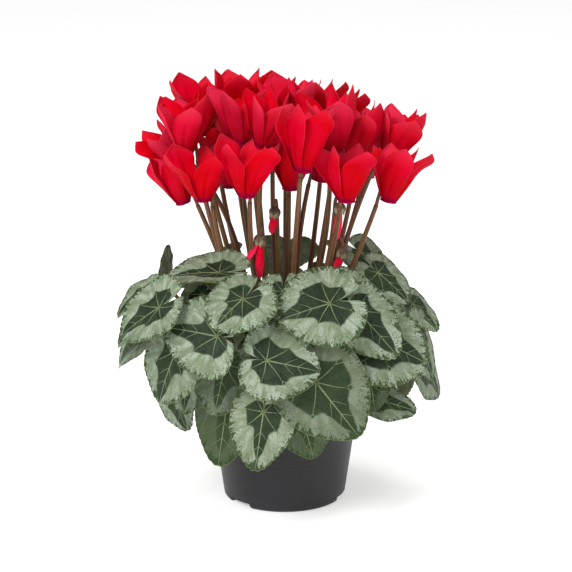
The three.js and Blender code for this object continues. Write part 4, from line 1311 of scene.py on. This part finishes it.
class CYCLAMEN_OT_soil(bpy.types.Operator):
    """Makes the soil: a rough fill that rises to the crown, with loose crumbs on it"""
    bl_idname = "cyclamen.soil"
    bl_label = "Soil"

    def execute(self, context):
        settings = context.scene.cyclamen_pot
        low, high = SOIL_BOX[0][2] / MM, SOIL_BOX[1][2] / MM
        spread = settings.rim_radius / MM - POT_LIP_DEPTH - POT_BASE_RADIUS
        inner = lambda height: (POT_BASE_RADIUS + spread * height * MM / settings.height
                                - POT_WALL - SOIL_GAP)
        edge = inner(high - SOIL_DIP)
        crown = lambda reach: high - SOIL_DIP * (1 - smooth(reach, edge, TUBER_RADIUS + 6))
        rings = np.linspace(edge, TUBER_RADIUS + SOIL_GAP, 60)
        profile = [(0, low), (inner(low), low), *zip(rings, crown(rings)),
                   (TUBER_RADIUS + SOIL_GAP, TUBER_BOTTOM), (0, TUBER_BOTTOM)]
        grid = turned(profile, 240)
        x, y = grid[..., 0], grid[..., 1]
        grains = (2.2 * lattice(x / 5, y / 5, 3) + 1.4 * lattice(x / 2.2, y / 2.2, 5)
                  + 0.8 * lattice(x / 1.1, y / 1.1, 8)) - 2.4
        top = np.zeros(grid.shape[0])[:, None]
        top[3:-3] = 1
        grid[..., 2] += top * grains
        work = Patchwork()
        work.grid(grid[:, ::-1], PLAIN_CHART, PLAIN_MARK, 0, wrap=True)
        number = np.arange(settings.crumbs)[:, None, None]
        reach = TUBER_RADIUS + 3 + (edge - TUBER_RADIUS - 5) * np.sqrt(draw(number, 1))
        azimuth = 2 * math.pi * draw(number, 2)
        size = 0.7 + 1.3 * draw(number, 3) ** 2
        middle = together(reach * np.cos(azimuth), reach * np.sin(azimuth), crown(reach) + 0.4)
        ring, side = np.arange(CRUMB_RINGS)[:, None], np.arange(CRUMB_SIDES)
        lat = math.pi * (ring / (CRUMB_RINGS - 1) - 0.5)
        lon = 2 * math.pi * side / CRUMB_SIDES + 6.28 * draw(number, 4)
        lump = size * (0.7 + 0.6 * draw(number * 7 + ring, side))
        lump = np.where(np.abs(lat) > 1.5, size, lump)
        crumb = together(lump * np.cos(lat) * np.cos(lon), lump * np.cos(lat) * np.sin(lon),
                         0.7 * lump * np.sin(lat))
        work.grid(middle + crumb, PLAIN_CHART, PLAIN_MARK, 0, wrap=True)
        work.finish("potting_soil", finishes_of(soil_finish), "soil", "soil")
        return {"FINISHED"}


class CYCLAMEN_OT_stalks(bpy.types.Operator):
    """Makes the tuber, the flower stalks and the petioles of the single leaves"""
    bl_idname = "cyclamen.stalks"
    bl_label = "Tuber and stalks"

    def execute(self, context):
        work = Patchwork()
        profile = eased([(0, TUBER_BOTTOM), (TUBER_RADIUS, TUBER_BOTTOM), (TUBER_RADIUS, SOIL_CROWN),
                         (0.7 * TUBER_RADIUS, TUBER_TOP - 1), (0, TUBER_TOP)], 4, 8)
        grid = turned(profile, 96)
        lumps = 1 + 0.05 * (lattice(grid[..., 0] / 5 + 9, grid[..., 1] / 5 + 9, 11) - 0.5)
        grid[..., :2] *= np.minimum(lumps, 1.0)[..., None]
        work.grid(grid[:, ::-1], PLAIN_CHART, PLAIN_MARK, 0, wrap=True)
        work.finish("tuber", finishes_of(tuber_finish), "stalks", "stems")

        work = Patchwork()
        curves = []
        for index, row in enumerate(BLOOMS):
            bloom = Bloom(row, index)
            curves.append(stalk_curve(bloom.beside(STALK_OFFSET, -HOOK_START - 0.6), bloom.up))
        for row in BUDS:
            hook, _ = bud_hook(row)
            curves.append(stalk_curve(hook[0] + (0, 0, 0.5), np.array((0.0, 0, 1))))
        number = np.arange(len(curves))[:, None]
        along = np.linspace(0, 1, STALK_STEPS)
        sway = together(np.sin(5 * along) * (draw(number, 70) - 0.5),
                        np.cos(4 * along) * (draw(number, 71) - 0.5), 0.0)
        fade = np.sin(math.pi * along)[:, None]
        paths = bezier(np.array(curves), STALK_STEPS) + STALK_SWAY * sway * fade
        radii = STALK_RADIUS * (1.35 - 0.36 * along)
        grid = tubes(paths, radii, np.array((0.0, 1, 0)), STALK_SIDES)
        work.grid(grid, tube_chart(0, STALK_SIDES, STALK_STEPS), PLAIN_MARK, 0, wrap=True)
        work.finish("flower_stalks", finishes_of(stalk_finish), "stalks", "stems")

        work = Patchwork()
        curves = []
        for index, row in enumerate(FRONT_LEAVES):
            leaf = Leaf(row[1:], index)
            start = unit(leaf.hub * (1, 1, 0)) * 0.75 * TUBER_RADIUS + (0, 0, TUBER_TOP - 6)
            curves.append(petiole_curve(leaf, start))
        add_petioles(work, curves, 0)
        work.finish("petioles", finishes_of(stalk_finish), "stalks", "stems")
        return {"FINISHED"}


class CYCLAMEN_OT_leaves(bpy.types.Operator):
    """Makes the single leaves of the front, one piece for each"""
    bl_idname = "cyclamen.leaves"
    bl_label = "Front leaves"

    def execute(self, context):
        finishes = finishes_of(*LEAF_MAKERS)
        for index, row in enumerate(FRONT_LEAVES):
            leaf = Leaf(row[1:], index)
            marking = MARKINGS.get(row[0], USUAL_MARKING)
            work = Patchwork()
            add_blade(work, leaf, marking, TEETH)
            add_veins(work, leaf, marking)
            work.finish(row[0].replace("leaf", "blade"), finishes, "leaves", row[0])
        return {"FINISHED"}


class CYCLAMEN_OT_leaf_groups(bpy.types.Operator):
    """Makes the leaves of the sides and the back, a piece for each group with its petioles"""
    bl_idname = "cyclamen.leaf_groups"
    bl_label = "Side and back leaves"

    def execute(self, context):
        finishes = finishes_of(*LEAF_MAKERS, stalk_finish)
        for group, (name, azimuth, rows) in enumerate(LEAF_GROUPS):
            work = Patchwork()
            curves = []
            foot = GROUP_REACH * level(azimuth) + (0, 0, GROUP_START)
            for i, row in enumerate(rows):
                leaf = Leaf(row, 40 + 10 * group + i)
                silver = 0.75 + 0.25 * draw(group, 60 + i)
                if (name, i) in SILVER_LEAVES:
                    silver = SILVER_ALL_OVER
                marking = (silver, 0.3 * draw(group, 70 + i), 0.5 * draw(group, 90 + i))
                add_blade(work, leaf, marking, FEW_TEETH)
                add_veins(work, leaf, marking)
                spread = np.array((math.cos(1.3 * i), math.sin(1.3 * i), 0)) * GROUP_SPREAD
                curves.append(petiole_curve(leaf, foot + spread))
            add_petioles(work, curves, 3)
            work.finish(name.replace("leaves", "foliage"), finishes, "leaves", name)
        return {"FINISHED"}


class CYCLAMEN_OT_blooms(bpy.types.Operator):
    """Makes the blooms: five upswept petals, the cup, the pistil, the sepals and the hook"""
    bl_idname = "cyclamen.blooms"
    bl_label = "Blooms"

    def execute(self, context):
        finishes = finishes_of(*BLOOM_MAKERS)
        for index, row in enumerate(BLOOMS):
            bloom = Bloom(row, index)
            work = Patchwork()
            add_petals(work, bloom)
            add_cup(work, bloom)
            add_hook(work, bloom)
            work.finish(row[0].replace("bloom", "corolla"), finishes, "petals", row[0])
        return {"FINISHED"}


class CYCLAMEN_OT_buds(bpy.types.Operator):
    """Makes the buds: furled petals that hang from their sepals on a hooked stalk"""
    bl_idname = "cyclamen.buds"
    bl_label = "Buds"

    def execute(self, context):
        finishes = finishes_of(*BLOOM_MAKERS)
        for index, row in enumerate(BUDS):
            work = Patchwork()
            add_bud(work, row, index)
            work.finish(row[0].replace("bud", "furled_bud"), finishes, "buds", row[0])
        return {"FINISHED"}


class CYCLAMEN_OT_stage(bpy.types.Operator):
    """Makes the floor, the soft studio light and the camera at the photograph's angle"""
    bl_idname = "cyclamen.stage"
    bl_label = "Stage"

    def execute(self, context):
        settings = context.scene.cyclamen_stage
        scene = context.scene
        mesh = bpy.data.meshes.new("floor")
        corners = [(x * FLOOR_REACH, y * FLOOR_REACH, 0)
                   for x, y in ((-1, -1), (1, -1), (1, 1), (-1, 1))]
        mesh.from_pydata(corners, [], [(0, 1, 2, 3)])
        mesh.materials.append(*finishes_of(floor_finish))
        floor = bpy.data.objects.new("floor", mesh)
        scene.collection.objects.link(floor)
        floor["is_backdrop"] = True
        world = bpy.data.worlds.new("studio")
        world.use_nodes = True
        tree = world.node_tree
        sky = tree.nodes["Background"]
        sky.inputs["Color"].default_value = (1, 1, 1, 1)
        seen = tree.nodes.new("ShaderNodeLightPath").outputs["Is Camera Ray"]
        strength = tree.nodes.new("ShaderNodeMath")
        strength.operation = "MAXIMUM"
        strength.inputs[1].default_value = settings.sky
        tree.links.new(seen, strength.inputs[0])
        tree.links.new(strength.outputs[0], sky.inputs["Strength"])
        scene.world = world
        for name, place, power, size in LAMPS:
            light = bpy.data.lights.new(name, "AREA")
            light.energy = power
            light.size = size
            lamp = bpy.data.objects.new(name, light)
            lamp.location = np.array(place) + POT_AXIS
            aim = unit(np.array(LAMP_AIM) - np.array(place))
            turn = math.atan2(aim[1], aim[0]) - math.pi / 2
            lamp.rotation_euler = (math.acos(-aim[2]), 0, turn)
            scene.collection.objects.link(lamp)
        camera = bpy.data.objects.new("camera", bpy.data.cameras.new("camera"))
        camera.data.sensor_width = SENSOR_WIDTH
        camera.data.lens = settings.lens
        place = (PLANT_SHIFT * MM, -settings.camera_distance, settings.camera_height)
        camera.location = np.array(place) + POT_AXIS
        camera.rotation_euler = (math.pi / 2 - settings.camera_pitch, 0, 0)
        scene.collection.objects.link(camera)
        scene.camera = camera
        scene.view_settings.view_transform = "Standard"
        return {"FINISHED"}


class CYCLAMEN_PT_panel(bpy.types.Panel):
    """Lists the pieces of the plant"""
    bl_label = "Potted Cyclamen"
    bl_idname = "CYCLAMEN_PT_panel"
    bl_space_type = "VIEW_3D"
    bl_region_type = "UI"
    bl_category = "Cyclamen"

    def draw(self, context):
        for operator in OPERATORS:
            self.layout.operator(operator.bl_idname)
        for name, _ in SETTINGS:
            settings = getattr(context.scene, name)
            for key in settings.__annotations__:
                self.layout.prop(settings, key)


SETTINGS = (("cyclamen_pot", CyclamenPotSettings), ("cyclamen_colours", CyclamenColourSettings),
            ("cyclamen_stage", CyclamenStageSettings))
OPERATORS = (CYCLAMEN_OT_pot, CYCLAMEN_OT_soil, CYCLAMEN_OT_stalks, CYCLAMEN_OT_leaves,
             CYCLAMEN_OT_leaf_groups, CYCLAMEN_OT_blooms, CYCLAMEN_OT_buds, CYCLAMEN_OT_stage)


def register():
    """Registers the settings, the operators and the panel."""
    for name, group in SETTINGS:
        bpy.utils.register_class(group)
        setattr(bpy.types.Scene, name, bpy.props.PointerProperty(type=group))
    for each in OPERATORS + (CYCLAMEN_PT_panel,):
        bpy.utils.register_class(each)


def unregister():
    """Takes them away again, in reverse."""
    for each in (CYCLAMEN_PT_panel,) + OPERATORS[::-1]:
        bpy.utils.unregister_class(each)
    for name, group in SETTINGS[::-1]:
        delattr(bpy.types.Scene, name)
        bpy.utils.unregister_class(group)


def main():
    """Makes every piece in order."""
    register()
    for piece in ("pot", "soil", "stalks", "leaves", "leaf_groups", "blooms", "buds", "stage"):
        getattr(bpy.ops.cyclamen, piece)()
    dressed = [list(corner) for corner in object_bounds()]


if __name__ == "__main__":
    main()
